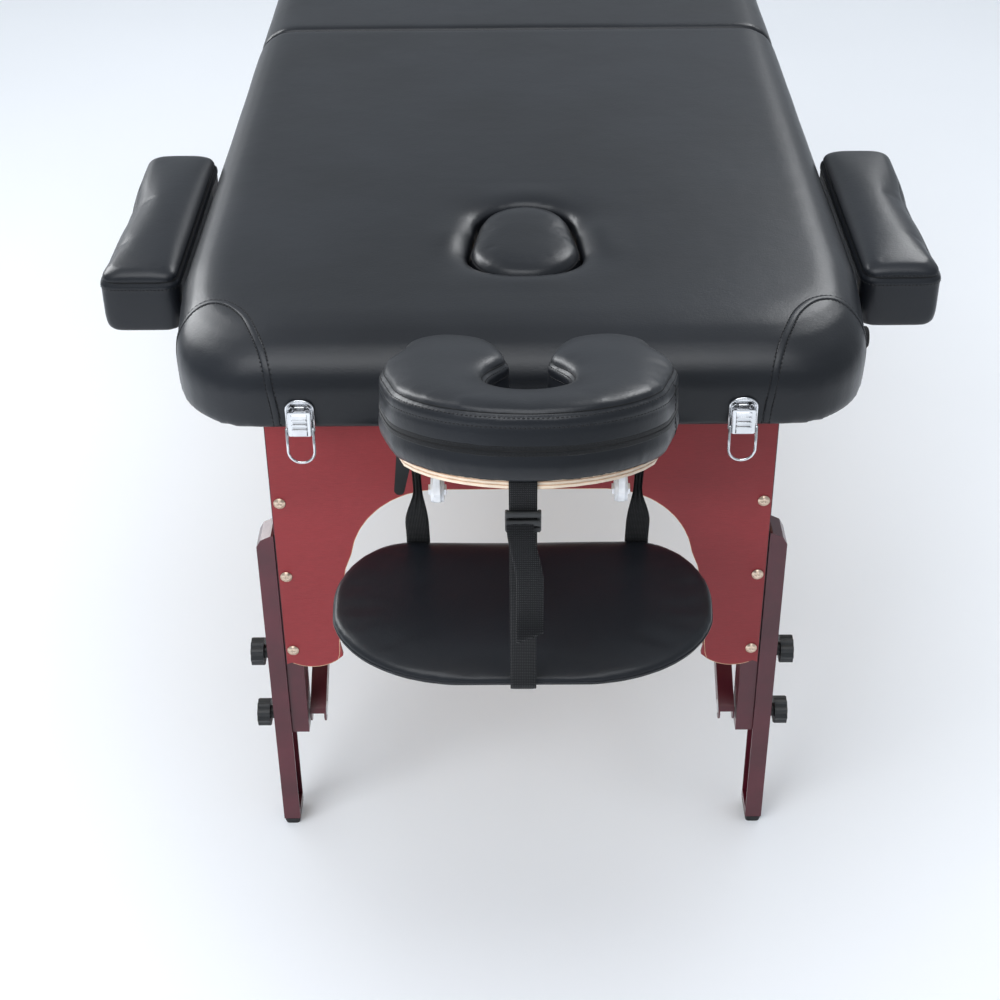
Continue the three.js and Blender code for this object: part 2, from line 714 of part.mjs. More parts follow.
// Keepers on the foot end that the latches' bails hook on when the table is folded.
for (const [side, s] of [["left", -1], ["right", 1]]) {
  const x = s * LATCH_X;
  const y = LENGTH - FOOT_END_TRIM;
  const keeper = join(
    box(x - 11, x + 11, y + 0.3, y + 1.8, 2 * FOLD_Z - 588, 2 * FOLD_Z - 562),
    box(x - 7, x + 7, y + 1, y + 9, 2 * FOLD_Z - 582, 2 * FOLD_Z - 578.5),
  );
  add("latch_keeper_" + side, keeper, CHROME);
}

// The origin is under the middle of the table's whole box.
const whole = new THREE.Box3();
parts.forEach((m) => {
  whole.union(new THREE.Box3().setFromBufferAttribute(m.geometry.getAttribute("position")));
});
const centre = whole.getCenter(new THREE.Vector3());
parts.forEach((m) => {
  m.geometry.translate(0, -centre.y, -whole.min.z);
  table.add(m);
});
export const layout = { BOARD_PIVOT, BASE_PIVOT, CAM_X, strutAngle, whole, centre };

export default table;
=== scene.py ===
import json
import math

import bmesh
import bpy
import numpy as np
from mathutils import Matrix, Vector, noise
from mathutils.bvhtree import BVHTree


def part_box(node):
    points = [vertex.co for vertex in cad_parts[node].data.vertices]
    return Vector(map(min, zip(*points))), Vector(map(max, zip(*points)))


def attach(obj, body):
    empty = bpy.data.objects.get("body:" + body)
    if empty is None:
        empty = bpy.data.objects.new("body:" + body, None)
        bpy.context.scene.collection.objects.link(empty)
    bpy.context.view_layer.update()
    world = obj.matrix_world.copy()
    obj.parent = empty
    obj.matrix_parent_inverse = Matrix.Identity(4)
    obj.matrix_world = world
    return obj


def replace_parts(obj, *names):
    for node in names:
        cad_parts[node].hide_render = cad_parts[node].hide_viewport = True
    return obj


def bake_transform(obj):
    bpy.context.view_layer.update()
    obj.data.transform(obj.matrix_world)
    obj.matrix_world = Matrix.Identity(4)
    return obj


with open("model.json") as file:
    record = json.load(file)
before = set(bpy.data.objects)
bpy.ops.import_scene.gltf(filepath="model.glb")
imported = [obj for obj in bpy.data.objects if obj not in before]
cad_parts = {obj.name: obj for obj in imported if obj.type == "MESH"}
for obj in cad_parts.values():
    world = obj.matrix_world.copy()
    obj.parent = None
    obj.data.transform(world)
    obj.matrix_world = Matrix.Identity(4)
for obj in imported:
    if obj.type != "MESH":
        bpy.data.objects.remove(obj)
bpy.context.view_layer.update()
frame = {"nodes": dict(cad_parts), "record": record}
nodes = frame["nodes"]

# Layout in millimetres: x from the middle, y from the head end face, z from the floor.
END_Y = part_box("head_pad")[0].y  # the head end face in the row frame, metres
FOLD_Y = 970
PAD_TOP = 700
BREATH = (6, 272)  # middle of the breathing hole, x and y
REST_X = 6
REST_TILT = math.radians(14.6)
REST_FRONT = (-287, 795)  # front of the cushion at its upper seam, y and z
BOARD_LOW = -69.4  # under side of the face rest board, below that seam
SHELF_TOP = 480
SHELF_LOW = 452
SHELF_Y = (-249, -22)
ARM_Y = (230, 580)
ARM_Z = (598, 665)
LATCH_X = 229.5
LOOP_STEP = 0.003  # metres between the points of a line laid round a piece
SIDES = (("left", -1), ("right", 1))
ENDS = (("head", 0), ("foot", 1))  # name, and whether the end is the mirrored one


def at(x, y, z):
    """A point in the row frame, in metres, from the layout's millimetres."""
    return Vector((x / 1000, END_Y + y / 1000, z / 1000))


def rest_at(x, y, z):
    """A point of the tilted face rest: y from its front edge, z up from the cushion's upper seam."""
    c, s = math.cos(REST_TILT), math.sin(REST_TILT)
    return at(REST_X + x, REST_FRONT[0] + y * c + z * s, REST_FRONT[1] - y * s + z * c)


REST_N = (rest_at(0, 0, 1) - rest_at(0, 0, 0)).normalized()


# ---------- materials ----------
class Mat:
    """A node material with short ways to add what the surfaces here need."""

    def __init__(self, name, color, rough, metal=0.0, spec=0.5, coat=0.0, coat_rough=0.1, sheen=0.0):
        self.material = bpy.data.materials.new(name)
        self.material.use_nodes = True
        self.graph = self.material.node_tree
        self.shader = self.graph.nodes["Principled BSDF"]
        self.shader.inputs["Base Color"].default_value = (*color, 1)
        self.shader.inputs["Roughness"].default_value = rough
        self.shader.inputs["Metallic"].default_value = metal
        self.shader.inputs["Specular IOR Level"].default_value = spec
        self.shader.inputs["Coat Weight"].default_value = coat
        self.shader.inputs["Coat Roughness"].default_value = coat_rough
        self.shader.inputs["Sheen Weight"].default_value = sheen
        self.color = color
        self.coords = self.node("ShaderNodeTexCoord").outputs["Object"]
        self.height = None

    def node(self, kind, **values):
        n = self.graph.nodes.new(kind)
        for k, v in values.items():
            setattr(n, k, v)
        return n

    def link(self, a, b):
        self.graph.links.new(a, b)

    def mapped(self, scale):
        n = self.node("ShaderNodeMapping")
        n.inputs["Scale"].default_value = scale
        self.link(self.coords, n.inputs["Vector"])
        return n.outputs["Vector"]

    def noise(self, scale, detail=3, rough=0.5, vector=None, distortion=0.0):
        n = self.node("ShaderNodeTexNoise")
        n.inputs["Scale"].default_value = scale
        n.inputs["Detail"].default_value = detail
        n.inputs["Roughness"].default_value = rough
        n.inputs["Distortion"].default_value = distortion
        self.link(vector or self.coords, n.inputs["Vector"])
        return n.outputs["Fac"]

    def voronoi(self, scale):
        n = self.node("ShaderNodeTexVoronoi")
        n.inputs["Scale"].default_value = scale
        self.link(self.coords, n.inputs["Vector"])
        return n.outputs["Distance"]

    def wave(self, scale, vector=None, direction="X", distortion=0.0):
        n = self.node("ShaderNodeTexWave", bands_direction=direction)
        n.inputs["Scale"].default_value = scale
        n.inputs["Distortion"].default_value = distortion
        self.link(vector or self.coords, n.inputs["Vector"])
        return n.outputs["Fac"]

    def math(self, op, a, b):
        n = self.node("ShaderNodeMath", operation=op)
        for i, v in enumerate((a, b)):
            if isinstance(v, (int, float)):
                n.inputs[i].default_value = v
            else:
                self.link(v, n.inputs[i])
        return n.outputs[0]

    def ramp(self, value, stops):
        n = self.node("ShaderNodeValToRGB")
        e = n.color_ramp.elements
        while len(e) < len(stops):
            e.new(0.5)
        for i, (p, c) in enumerate(stops):
            e[i].position = p
            e[i].color = (*c, 1)
        self.link(value, n.inputs["Fac"])
        return n.outputs["Color"]

    def shades(self, value, low, high, a=0.35, b=0.65):
        dark = tuple(c * low for c in self.color)
        light = tuple(min(1, c * high) for c in self.color)
        self.link(self.ramp(value, [(a, dark), (b, light)]), self.shader.inputs["Base Color"])

    def roughness(self, value, low, high):
        n = self.node("ShaderNodeMapRange")
        n.inputs["To Min"].default_value = low
        n.inputs["To Max"].default_value = high
        self.link(value, n.inputs["Value"])
        self.link(n.outputs["Result"], self.shader.inputs["Roughness"])

    def bump(self, value, metres, strength=1.0):
        n = self.node("ShaderNodeBump")
        n.inputs["Distance"].default_value = metres
        n.inputs["Strength"].default_value = strength
        self.link(value, n.inputs["Height"])
        if self.height is not None:
            self.link(self.height, n.inputs["Normal"])
        self.height = n.outputs["Normal"]
        self.link(self.height, self.shader.inputs["Normal"])


def vinyl():
    rough = 0.34
    mat = Mat("vinyl", (0.0088, 0.0102, 0.0132), rough, spec=0.37)
    mat.shades(mat.noise(3.5, 3, 0.55), 0.8, 1.3)
    mat.roughness(mat.noise(9, 4, 0.6), rough - 0.05, rough + 0.07)
    mat.bump(mat.voronoi(820), 0.00012, 0.35)
    mat.bump(mat.noise(330, 3, 0.6), 0.0003, 0.45)
    mat.bump(mat.noise(22, 3, 0.5), 0.0016, 0.3)
    return mat.material


def wood(name, color, along="Y", ply=False):
    mat = Mat(name, color, 0.5, spec=0.4)
    slow, fine = 1.2, 28  # grain along and across the fibres
    scale = (slow, fine, fine) if along == "X" else (fine, slow, fine)
    grain = mat.noise(5.5, 6, 0.6, mat.mapped(scale), 1.2)
    mat.shades(grain, 0.9 if ply else 0.72, 1.05 if ply else 1.15)
    if ply:
        lines = mat.wave(1, mat.mapped((0, 110 * REST_N.y, 110 * REST_N.z)), "DIAGONAL", 0)
        mat.bump(lines, 0.0002, 0.4)
    mat.roughness(grain, 0.42, 0.6)
    mat.bump(grain, 0.0003, 0.3)
    return mat.material


def panel_red():
    mat = Mat("panel_red", (0.315, 0.037, 0.042), 0.5, spec=0.35, coat=0.08, coat_rough=0.4)
    fine = mat.noise(26, 5, 0.65, mat.mapped((3.5, 60, 60)))
    broad = mat.noise(2.5, 3, 0.5, mat.mapped((1, 4, 4)))
    grain = mat.math("ADD", mat.math("MULTIPLY", fine, 0.65), mat.math("MULTIPLY", broad, 0.35))
    mat.shades(grain, 0.72, 1.12, 0.32, 0.68)
    mat.roughness(fine, 0.4, 0.6)
    mat.bump(fine, 0.0004, 0.5)
    mat.bump(mat.wave(480, direction="Z", distortion=2.0), 0.0003, 0.6)
    return mat.material


def leg_paint():
    mat = Mat("leg_paint", (0.075, 0.0065, 0.0145), 0.32, spec=0.5, coat=0.3, coat_rough=0.16)
    mat.shades(mat.noise(14, 4, 0.6), 0.8, 1.2)
    mat.roughness(mat.noise(60, 4, 0.6), 0.24, 0.38)
    mat.bump(mat.noise(420, 2, 0.5), 0.0002, 0.25)
    return mat.material


def metal(name, color, rough):
    mat = Mat(name, color, rough, 1.0)
    mat.roughness(mat.noise(180, 4, 0.6, mat.mapped((1, 1, 5))), max(0.03, rough - 0.06), rough + 0.1)
    mat.shades(mat.noise(30, 3), 0.88, 1.05)
    mat.bump(mat.noise(500, 2, 0.5), 0.00008, 0.2)
    return mat.material


def plastic(name, color=(0.014, 0.015, 0.016), rough=0.42):
    mat = Mat(name, color, rough, spec=0.5)
    mat.shades(mat.noise(40, 3), 0.8, 1.25)
    mat.roughness(mat.noise(90, 4, 0.6), rough - 0.07, rough + 0.1)
    mat.bump(mat.noise(900, 2, 0.5), 0.0001, 0.35)
    return mat.material


def webbing():
    mat = Mat("webbing", (0.0085, 0.009, 0.0105), 0.85, spec=0.2, sheen=0.12)
    ribs = mat.wave(1, mat.mapped((0, 0, 150)), "Z")
    across = mat.wave(1, mat.mapped((190, 0, 0)), "X")
    weave = mat.math("MULTIPLY", ribs, across)
    mat.shades(weave, 0.45, 1.9, 0.1, 0.9)
    mat.bump(weave, 0.0006, 0.9)
    return mat.material


def zip_tape():
    mat = Mat("zip_tape", (0.008, 0.0085, 0.0095), 0.85, spec=0.2, sheen=0.2)
    weave = mat.noise(1500, 2, 0.6)
    mat.shades(weave, 0.5, 1.9)
    mat.bump(weave, 0.0003, 0.7)
    return mat.material


MATS = {
    "vinyl": vinyl(),
    "frame_wood": wood("frame_wood", (0.62, 0.44, 0.26)),
    "birch_ply": wood("birch_ply", (0.86, 0.72, 0.57), "X", True),
    "panel_red": panel_red(),
    "leg_paint": leg_paint(),
    "steel": metal("steel", (0.74, 0.75, 0.77), 0.28),
    "chrome": metal("chrome", (0.78, 0.79, 0.81), 0.12),
    "black_plastic": plastic("black_plastic"),
    "rubber": plastic("rubber", (0.011, 0.011, 0.012), 0.7),
    "webbing": webbing(),
}
THREAD = plastic("thread", (0.004, 0.004, 0.005), 0.6)
# Near-black used as painted shade: thin lines along seam grooves and in the lever's gaps. It is also the
# zip coil's own black.
SHADE_AND_COIL = plastic("painted_shade_and_coil", (0.002, 0.002, 0.0025), 0.8)
BRASS = metal("brass", (0.92, 0.72, 0.56), 0.3)
WHITE = plastic("white_nylon", (0.72, 0.73, 0.75), 0.4)
ZIP = zip_tape()
EDGE_PLY = wood("edge_ply", (0.66, 0.42, 0.27), "X")

slot_of = {s["node"]: s["material_slot"] for s in frame["record"]["subparts"]}
body_of = {n: b for b, ns in frame["record"]["behaviour"]["bodies"].items() for n in ns}
for name, obj in nodes.items():
    obj.data.materials.clear()
    obj.data.materials.append(MATS[slot_of[name]])


# ---------- mesh helpers ----------
def make(name, verts, faces, material, body=None, smooth=True):
    mesh = bpy.data.meshes.new(name)
    mesh.from_pydata([tuple(v) for v in verts], [], faces)
    mesh.validate()
    obj = bpy.data.objects.new(name, mesh)
    bpy.context.scene.collection.objects.link(obj)
    mesh.materials.append(material)
    if smooth:
        mesh.shade_smooth()
    if body:
        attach(obj, body)
    return obj


def from_bmesh(name, bm, material, body, smooth=False):
    mesh = bpy.data.meshes.new(name)
    bm.normal_update()
    bm.to_mesh(mesh)
    bm.free()
    obj = bpy.data.objects.new(name, mesh)
    bpy.context.scene.collection.objects.link(obj)
    mesh.materials.append(material)
    if smooth:
        mesh.shade_smooth()
    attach(obj, body)
    return obj


def bake(obj):
    """Replaces the object's mesh by what its modifiers make of it."""
    graph = bpy.context.evaluated_depsgraph_get()
    graph.update()
    mesh = bpy.data.meshes.new_from_object(obj.evaluated_get(graph))
    obj.modifiers.clear()
    obj.data = mesh
    mesh.shade_smooth()


def points_of(obj):
    co = np.empty(len(obj.data.vertices) * 3, np.float64)
    obj.data.vertices.foreach_get("co", co)
    return co.reshape(-1, 3)


def set_points(obj, co):
    obj.data.vertices.foreach_set("co", co.astype(np.float32).ravel())
    obj.data.update()


def in_layout(co):
    """Row frame metres to layout millimetres, as three columns."""
    return co[:, 0] * 1000, (co[:, 1] - END_Y) * 1000, co[:, 2] * 1000


def in_rest(co):
    """Row frame metres to the face rest's own millimetres."""
    x, y, z = in_layout(co)
    c, s = math.cos(REST_TILT), math.sin(REST_TILT)
    dy, dz = y - REST_FRONT[0], z - REST_FRONT[1]
    return x - REST_X, dy * c - dz * s, dy * s + dz * c


def remeshed(node, name, voxel, rounds):
    """A smooth, evenly meshed copy of a plain CAD solid, which it then stands for."""
    obj = bpy.data.objects.new(name, nodes[node].data.copy())
    bpy.context.scene.collection.objects.link(obj)
    m = obj.modifiers.new("remesh", "REMESH")
    m.mode = "VOXEL"
    m.voxel_size = voxel / 1000
    s = obj.modifiers.new("smooth", "SMOOTH")
    s.factor = 0.5
    s.iterations = rounds
    bake(obj)
    return obj


CLOTH_FRAMES = 20


def inflate(obj, pinned, pressure, cap):
    """Blows the piece up a little as cloth: pinned points are held, and none moves further than cap mm."""
    start = points_of(obj)
    group = obj.vertex_groups.new(name="held")
    for i in np.flatnonzero(pinned):
        group.add([int(i)], 1.0, "REPLACE")
    m = obj.modifiers.new("cloth", "CLOTH")
    c = m.settings
    c.quality = 6
    c.mass = 0.25
    c.tension_stiffness = 25
    c.compression_stiffness = 25
    c.bending_stiffness = 2.0
    c.use_pressure = True
    c.uniform_pressure_force = pressure
    c.vertex_group_mass = "held"
    c.effector_weights.gravity = 0
    m.collision_settings.use_collision = False
    m.point_cache.frame_start = 1
    m.point_cache.frame_end = CLOTH_FRAMES
    for f in range(1, CLOTH_FRAMES + 1):
        bpy.context.scene.frame_set(f)
    graph = bpy.context.evaluated_depsgraph_get()
    mesh = bpy.data.meshes.new_from_object(obj.evaluated_get(graph))
    obj.modifiers.clear()
    obj.vertex_groups.clear()
    bpy.context.scene.frame_set(1)
    co = np.empty(len(mesh.vertices) * 3, np.float64)
    mesh.vertices.foreach_get("co", co)
    move = co.reshape(-1, 3) - start
    far = np.linalg.norm(move, axis=1, keepdims=True)
    limit = cap / 1000
    eased = limit * np.tanh(far / limit)
    set_points(obj, start + move * np.where(far > 1e-9, eased / np.maximum(far, 1e-9), 0))
    bpy.data.meshes.remove(mesh)


def relax(obj, rounds, weights=None):
    """Smooths a piece, everywhere or by each point's weight."""
    s = obj.modifiers.new("smooth", "SMOOTH")
    s.factor = 0.5
    s.iterations = rounds
    if weights is not None:
        group = obj.vertex_groups.new(name="softer")
        for i in np.flatnonzero(weights > 0.01):
            group.add([int(i)], float(weights[i]), "REPLACE")
        s.vertex_group = "softer"
    bake(obj)
    obj.vertex_groups.clear()


def refine(obj):
    """Splits every face once, smoothly."""
    s = obj.modifiers.new("fine", "SUBSURF")
    s.levels = 1
    s.render_levels = 1
    bake(obj)


def dress(obj, node):
    """Makes a soft piece stand for its CAD node, in vinyl."""
    obj.data.materials.clear()
    obj.data.materials.append(MATS["vinyl"])
    obj.data.shade_smooth()
    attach(obj, body_of[node])
    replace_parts(obj, node)
    return obj


def normals_of(obj):
    bm = bmesh.new()
    bm.from_mesh(obj.data)
    bm.normal_update()
    normals = np.array([v.normal for v in bm.verts])
    bm.free()
    return normals


def tree(obj):
    return BVHTree.FromPolygons([v.co for v in obj.data.vertices], [p.vertices for p in obj.data.polygons])


def resampled(points, step, closed=False):
    """Points at even steps along a line through points."""
    pts = [Vector(p) for p in points]
    if closed:
        pts.append(pts[0])
    lengths = [0.0]
    for a, b in zip(pts, pts[1:]):
        lengths.append(lengths[-1] + (b - a).length)
    count = max(2, int(round(lengths[-1] / step)))
    out, k = [], 0
    for i in range(count + (0 if closed else 1)):
        d = lengths[-1] * i / count
        while k < len(lengths) - 2 and lengths[k + 1] < d:
            k += 1
        span = max(lengths[k + 1] - lengths[k], 1e-12)
        out.append(pts[k].lerp(pts[k + 1], min(1, (d - lengths[k]) / span)))
    return out


def smoothed(points, rounds=2, closed=False):
    pts = [Vector(p) for p in points]
    for _ in range(rounds):
        n = len(pts)
        new = []
        for i in range(n):
            if not closed and i in (0, n - 1):
                new.append(pts[i])
            else:
                new.append((pts[i - 1] + pts[i] * 2 + pts[(i + 1) % n]) / 4)
        pts = new
    return pts


def spline(points, count):
    """A smooth Catmull-Rom line through the points."""
    pts = [Vector(p) for p in points]
    pts = [pts[0] * 2 - pts[1]] + pts + [pts[-1] * 2 - pts[-2]]
    out = []
    for i in range(1, len(pts) - 2):
        a, b, c, d = pts[i - 1 : i + 3]
        for k in range(count):
            t = k / count
            square = (2 * a - 5 * b + 4 * c - d) * t * t
            cube = (3 * b - a - 3 * c + d) * t**3
            out.append(0.5 * ((2 * b) + (c - a) * t + square + cube))
    out.append(pts[-2])
    return out


def snapped(points, on, lift=0.0):
    """Each point moved to the nearest place on the surface, with the surface's normal there."""
    found = [on.find_nearest(p)[:2] for p in points]
    normals = [n for _, n in found]
    for _ in range(6):
        before, after = [normals[0]] + normals[:-1], normals[1:] + [normals[-1]]
        normals = [(a + n * 2 + b) / 4 for a, n, b in zip(before, normals, after)]
    places = smoothed([q for q, _ in found], 2)
    return [(q + n.normalized() * lift, n.normalized()) for q, n in zip(places, normals)]


def ribbon(name, line, width, thick, material, body, closed=False, shift=0.0):
    """A flat band on a surface: line is [(point, normal)], width and thickness in mm."""
    verts, faces = [], []
    n = len(line)
    profile = [(-0.5, -0.3), (-0.5, 0.55), (-0.36, 1), (0.36, 1), (0.5, 0.55), (0.5, -0.3)]
    k = len(profile)
    for i, (p, nor) in enumerate(line):
        a = line[i - 1][0] if (closed or i) else p
        b = line[(i + 1) % n][0] if (closed or i < n - 1) else p
        side = (b - a).cross(nor).normalized()
        for u, v in profile:
            verts.append(p + side * ((u * width + shift) / 1000) + nor * (v * thick / 1000))
    for i in range(n if closed else n - 1):
        j = (i + 1) % n
        for q in range(k):
            r = (q + 1) % k
            faces.append((i * k + q, i * k + r, j * k + r, j * k + q))
    if not closed:
        faces.append(tuple(range(k)))
        faces.append(tuple((n - 1) * k + q for q in reversed(range(k))))
    obj = make(name, verts, faces, material, body)
    fix_normals(obj)
    return obj


def fix_normals(obj):
    bm = bmesh.new()
    bm.from_mesh(obj.data)
    bmesh.ops.recalc_face_normals(bm, faces=bm.faces)
    bm.to_mesh(obj.data)
    bm.free()


def stitches(name, line, body, closed=False, pitch=4.2, long=3.0, wide=0.95, high=0.55, shift=0.0):
    """A row of thread stitches along a line of (point, normal), as one piece."""
    bm = bmesh.new()
    pts = [p for p, _ in line]
    steps = resampled(pts, pitch / 1000, closed)
    for i, p in enumerate(steps):
        near = range(len(line))
        if len(line) >= 40:
            guess = int(i / max(1, len(steps)) * len(line))
            near = [q % len(line) for q in range(guess - 12, guess + 13)]
        k = min(near, key=lambda q: (line[q][0] - p).length_squared)
        nor = line[k][1]
        a = line[k - 1][0] if (closed or k) else line[k][0]
        b = line[(k + 1) % len(line)][0] if (closed or k < len(line) - 1) else line[k][0]
        t = (b - a).normalized()
        side = t.cross(nor).normalized()
        m = Matrix((t, side, nor)).transposed().to_4x4()
        m.translation = p + side * (shift / 1000)
        size = Matrix.Diagonal((long / 2000, wide / 2000, high / 1000, 1))
        bmesh.ops.create_icosphere(bm, subdivisions=1, radius=1.0, matrix=m @ size)
    return from_bmesh(name, bm, THREAD, body, True)


def slice_loop(obj, point, normal, keep=None):
    """The longest closed line where a plane cuts the piece, as ordered points."""
    bm = bmesh.new()
    bm.from_mesh(obj.data)
    bmesh.ops.remove_doubles(bm, verts=bm.verts, dist=1e-5)
    cut = bmesh.ops.bisect_plane(
        bm, geom=bm.verts[:] + bm.edges[:] + bm.faces[:], plane_co=point, plane_no=normal, dist=1e-7
    )
    edges = [e for e in cut["geom_cut"] if isinstance(e, bmesh.types.BMEdge)]
    links = {}
    for e in edges:
        for a, b in ((0, 1), (1, 0)):
            links.setdefault(e.verts[a], []).append(e.verts[b])
    best, seen = [], set()
    for start in links:
        if start in seen:
            continue
        loop, v, last = [], start, None
        while v is not None and v not in seen:
            seen.add(v)
            loop.append(v.co.copy())
            nxt = [w for w in links[v] if w is not last and w not in seen]
            last, v = v, (nxt[0] if nxt else None)
        if len(loop) > len(best) and (keep is None or keep(loop)):
            best = loop
    bm.free()
    return best


def girth(obj, point, normal):
    """The line where a plane cuts a soft piece, even round it, as points and normals."""
    loop = slice_loop(obj, point, normal)
    loop = smoothed(resampled(loop, LOOP_STEP, True), 3, True)
    return snapped(loop, tree(obj))


def smoothstep(a, b, x):
    """Goes smoothly from 0 where x is a to 1 where it is b."""
    t = np.clip((x - a) / (b - a), 0, 1)
    return t * t * (3 - 2 * t)


def box_mm(bm, x0, x1, y0, y1, z0, z1, bevel):
    """Adds a box with rounded edges between layout corners."""
    new = bmesh.ops.create_cube(bm, size=1.0)["verts"]
    a, b = at(x0, y0, z0), at(x1, y1, z1)
    for v in new:
        v.co = Vector((a[i] + (b[i] - a[i]) * (v.co[i] + 0.5) for i in range(3)))
    edges = list({e for v in new for e in v.link_edges})
    made = bmesh.ops.bevel(bm, geom=edges, offset=bevel / 1000, segments=3, profile=0.5, affect="EDGES")
    return set(made["verts"]) | {v for v in new if v.is_valid}


def disc(bm, centre, axis, radius, depth, sides=24, top=None):
    """Adds a round bar: centre in metres, sizes in mm."""
    turn = Vector(axis).normalized().to_track_quat("Z", "Y").to_matrix().to_4x4()
    turn.translation = centre
    return bmesh.ops.create_cone(
        bm,
        cap_ends=True,
        segments=sides,
        radius1=radius / 1000,
        radius2=(radius if top is None else top) / 1000,
        depth=depth / 1000,
        matrix=turn,
    )["verts"]


def wire(name, points, radius, body):
    """A round chrome wire along points in metres, its radius in mm."""
    line = [Vector(p) for p in points]
    n = len(line)
    sides = 10
    verts, faces = [], []
    up = None
    for i, p in enumerate(line):
        a = line[max(i - 1, 0)]
        b = line[min(i + 1, n - 1)]
        t = (b - a).normalized()
        if up is None:
            up = t.orthogonal().normalized()
        up = (up - t * up.dot(t)).normalized()
        side = t.cross(up)
        for k in range(sides):
            w = 2 * math.pi * k / sides
            verts.append(p + (up * math.cos(w) + side * math.sin(w)) * (radius / 1000))
    for i in range(n - 1):
        for k in range(sides):
            q = (k + 1) % sides
            faces.append((i * sides + k, i * sides + q, (i + 1) * sides + q, (i + 1) * sides + k))
    faces.append(tuple(reversed(range(sides))))
    faces.append(tuple((n - 1) * sides + k for k in range(sides)))
    obj = make(name, verts, faces, MATS["chrome"], body)
    fix_normals(obj)
    return obj


# ---------- the padded top ----------
def hole_line(node):
    """The breath hole's outline near the top of the pad, as layout x, y."""
    height, widest = 672, 0.3  # mm, and metres that the pad's own outline is wider than

    def small(points):
        return max((p - points[0]).length for p in points) < widest

    loop = slice_loop(nodes[node], at(0, 0, height), (0, 0, 1), small)
    return np.array([[p.x * 1000, (p.y - END_Y) * 1000] for p in resampled(loop, LOOP_STEP, True)])


SLACK = 0.9  # mm of slow waves in the upholstery
DRAWN_IN = 13.0  # mm that each side is drawn in at the ends of the table
DRAWN_IN_LOW = 2.0  # and how much more low down


def pad_shape(obj, line=None):
    """Softens a top: slack upholstery over foam, and the vinyl pulled down round the breath hole."""
    co = points_of(obj)
    x, y, z = in_layout(co)
    top = smoothstep(PAD_TOP - 45, PAD_TOP - 3, z)
    drop = np.zeros(len(co))
    if line is not None:
        near = np.flatnonzero((abs(x - BREATH[0]) < 130) & (abs(y - BREATH[1]) < 150) & (z > 612))
        d = np.full(len(co), 999.0)
        for i in range(0, len(near), 4000):
            k = near[i : i + 4000]
            gap = np.hypot(x[k, None] - line[None, :, 0], y[k, None] - line[None, :, 1])
            d[k] = gap.min(1)
        angle = np.arctan2(y - BREATH[1], x - BREATH[0])
        pull = np.exp(-((d / 15) ** 2)) * (2.5 + 5.5 * np.cos(angle) ** 2) + np.exp(-d / 30) * 1.8
        folds = np.cos(angle * 4 + np.pi) * 1.3 + np.cos(angle * 11 + 0.4) * 0.15
        pull += folds * np.exp(-((d - 22) ** 2) / 500)
        drop += pull * top
    for i in np.flatnonzero(top > 0.02):
        p = Vector((x[i] / 190, y[i] / 240, 0.3))
        drop[i] += SLACK * noise.noise(p) * top[i]
    co[:, 2] -= drop / 1000
    side = smoothstep(355, 378, abs(x)) * (1 - smoothstep(660, 695, z)) * smoothstep(606, 622, z)
    for i in np.flatnonzero(side > 0.02):
        p = Vector((x[i] / 400, y[i] / 120, z[i] / 60))
        co[i, 0] += np.sign(x[i]) * (SLACK * noise.noise(p) - 0.4) * side[i] / 1000
    # The upholstery is drawn in towards the corners, most of all low down.
    end_gap = np.minimum(y, 2 * FOLD_Y - y)
    drawn = (1 - smoothstep(40, 235, end_gap)) * smoothstep(120, 330, abs(x))
    low_in = 1 - smoothstep(606, 668, z)
    low_in *= (1 - smoothstep(20, 190, end_gap)) * smoothstep(250, 345, abs(x))
    co[:, 0] -= np.sign(x) * (DRAWN_IN * drawn + DRAWN_IN_LOW * low_in) / 1000
    set_points(obj, co)


hole = hole_line("head_pad")
head_top = remeshed("head_pad", "head_top_cover", voxel=6, rounds=4)
pad_shape(head_top, hole)
relax(head_top, 2)
dress(head_top, "head_pad")
foot_top = remeshed("foot_pad", "foot_top_cover", voxel=8, rounds=3)
pad_shape(foot_top)
dress(foot_top, "foot_pad")

# Round each corner: up the end face, back over the top and down the side.
GUSSET = [
    (254, 0, 610), (255, 0, 628), (257, 0, 643), (262, 10, 672), (269, 30, 688), (279, 54, 696),
    (292, 84, 699), (312, 109, 699), (333, 117, 698), (349, 113, 694), (362, 105, 684), (372, 97, 668),
    (379, 90, 645), (381, 87, 612),
]  # fmt: skip
for (end, flip), cover in zip(ENDS, (head_top, foot_top)):
    on, body = tree(cover), f"{end}_section"
    for side, s in SIDES:
        pts = [at(s * x, 2 * FOLD_Y - y if flip else y, z) for x, y, z in GUSSET]
        line = snapped(resampled(spline(pts, 8), 0.004), on)
        if s > 0:
            line = line[::-1]
        tag = f"{end}_{side}"
        ribbon(f"gusset_welt_{tag}", line, 6.6, 0.9, MATS["vinyl"], body)
        for row, shift in (("in", -4.0), ("out", 4.0)):
            # Painted shade: a thin near-black line along the seam groove under each row of stitches.
            ribbon(f"gusset_shade_line_{row}_{tag}", line, 0.9, 0.12, SHADE_AND_COIL, body, shift=shift)
            thread = dict(pitch=5.0, long=3.6, wide=1.7, high=0.9)
            stitches(f"gusset_stitch_{row}_{tag}", line, body, shift=shift, **thread)


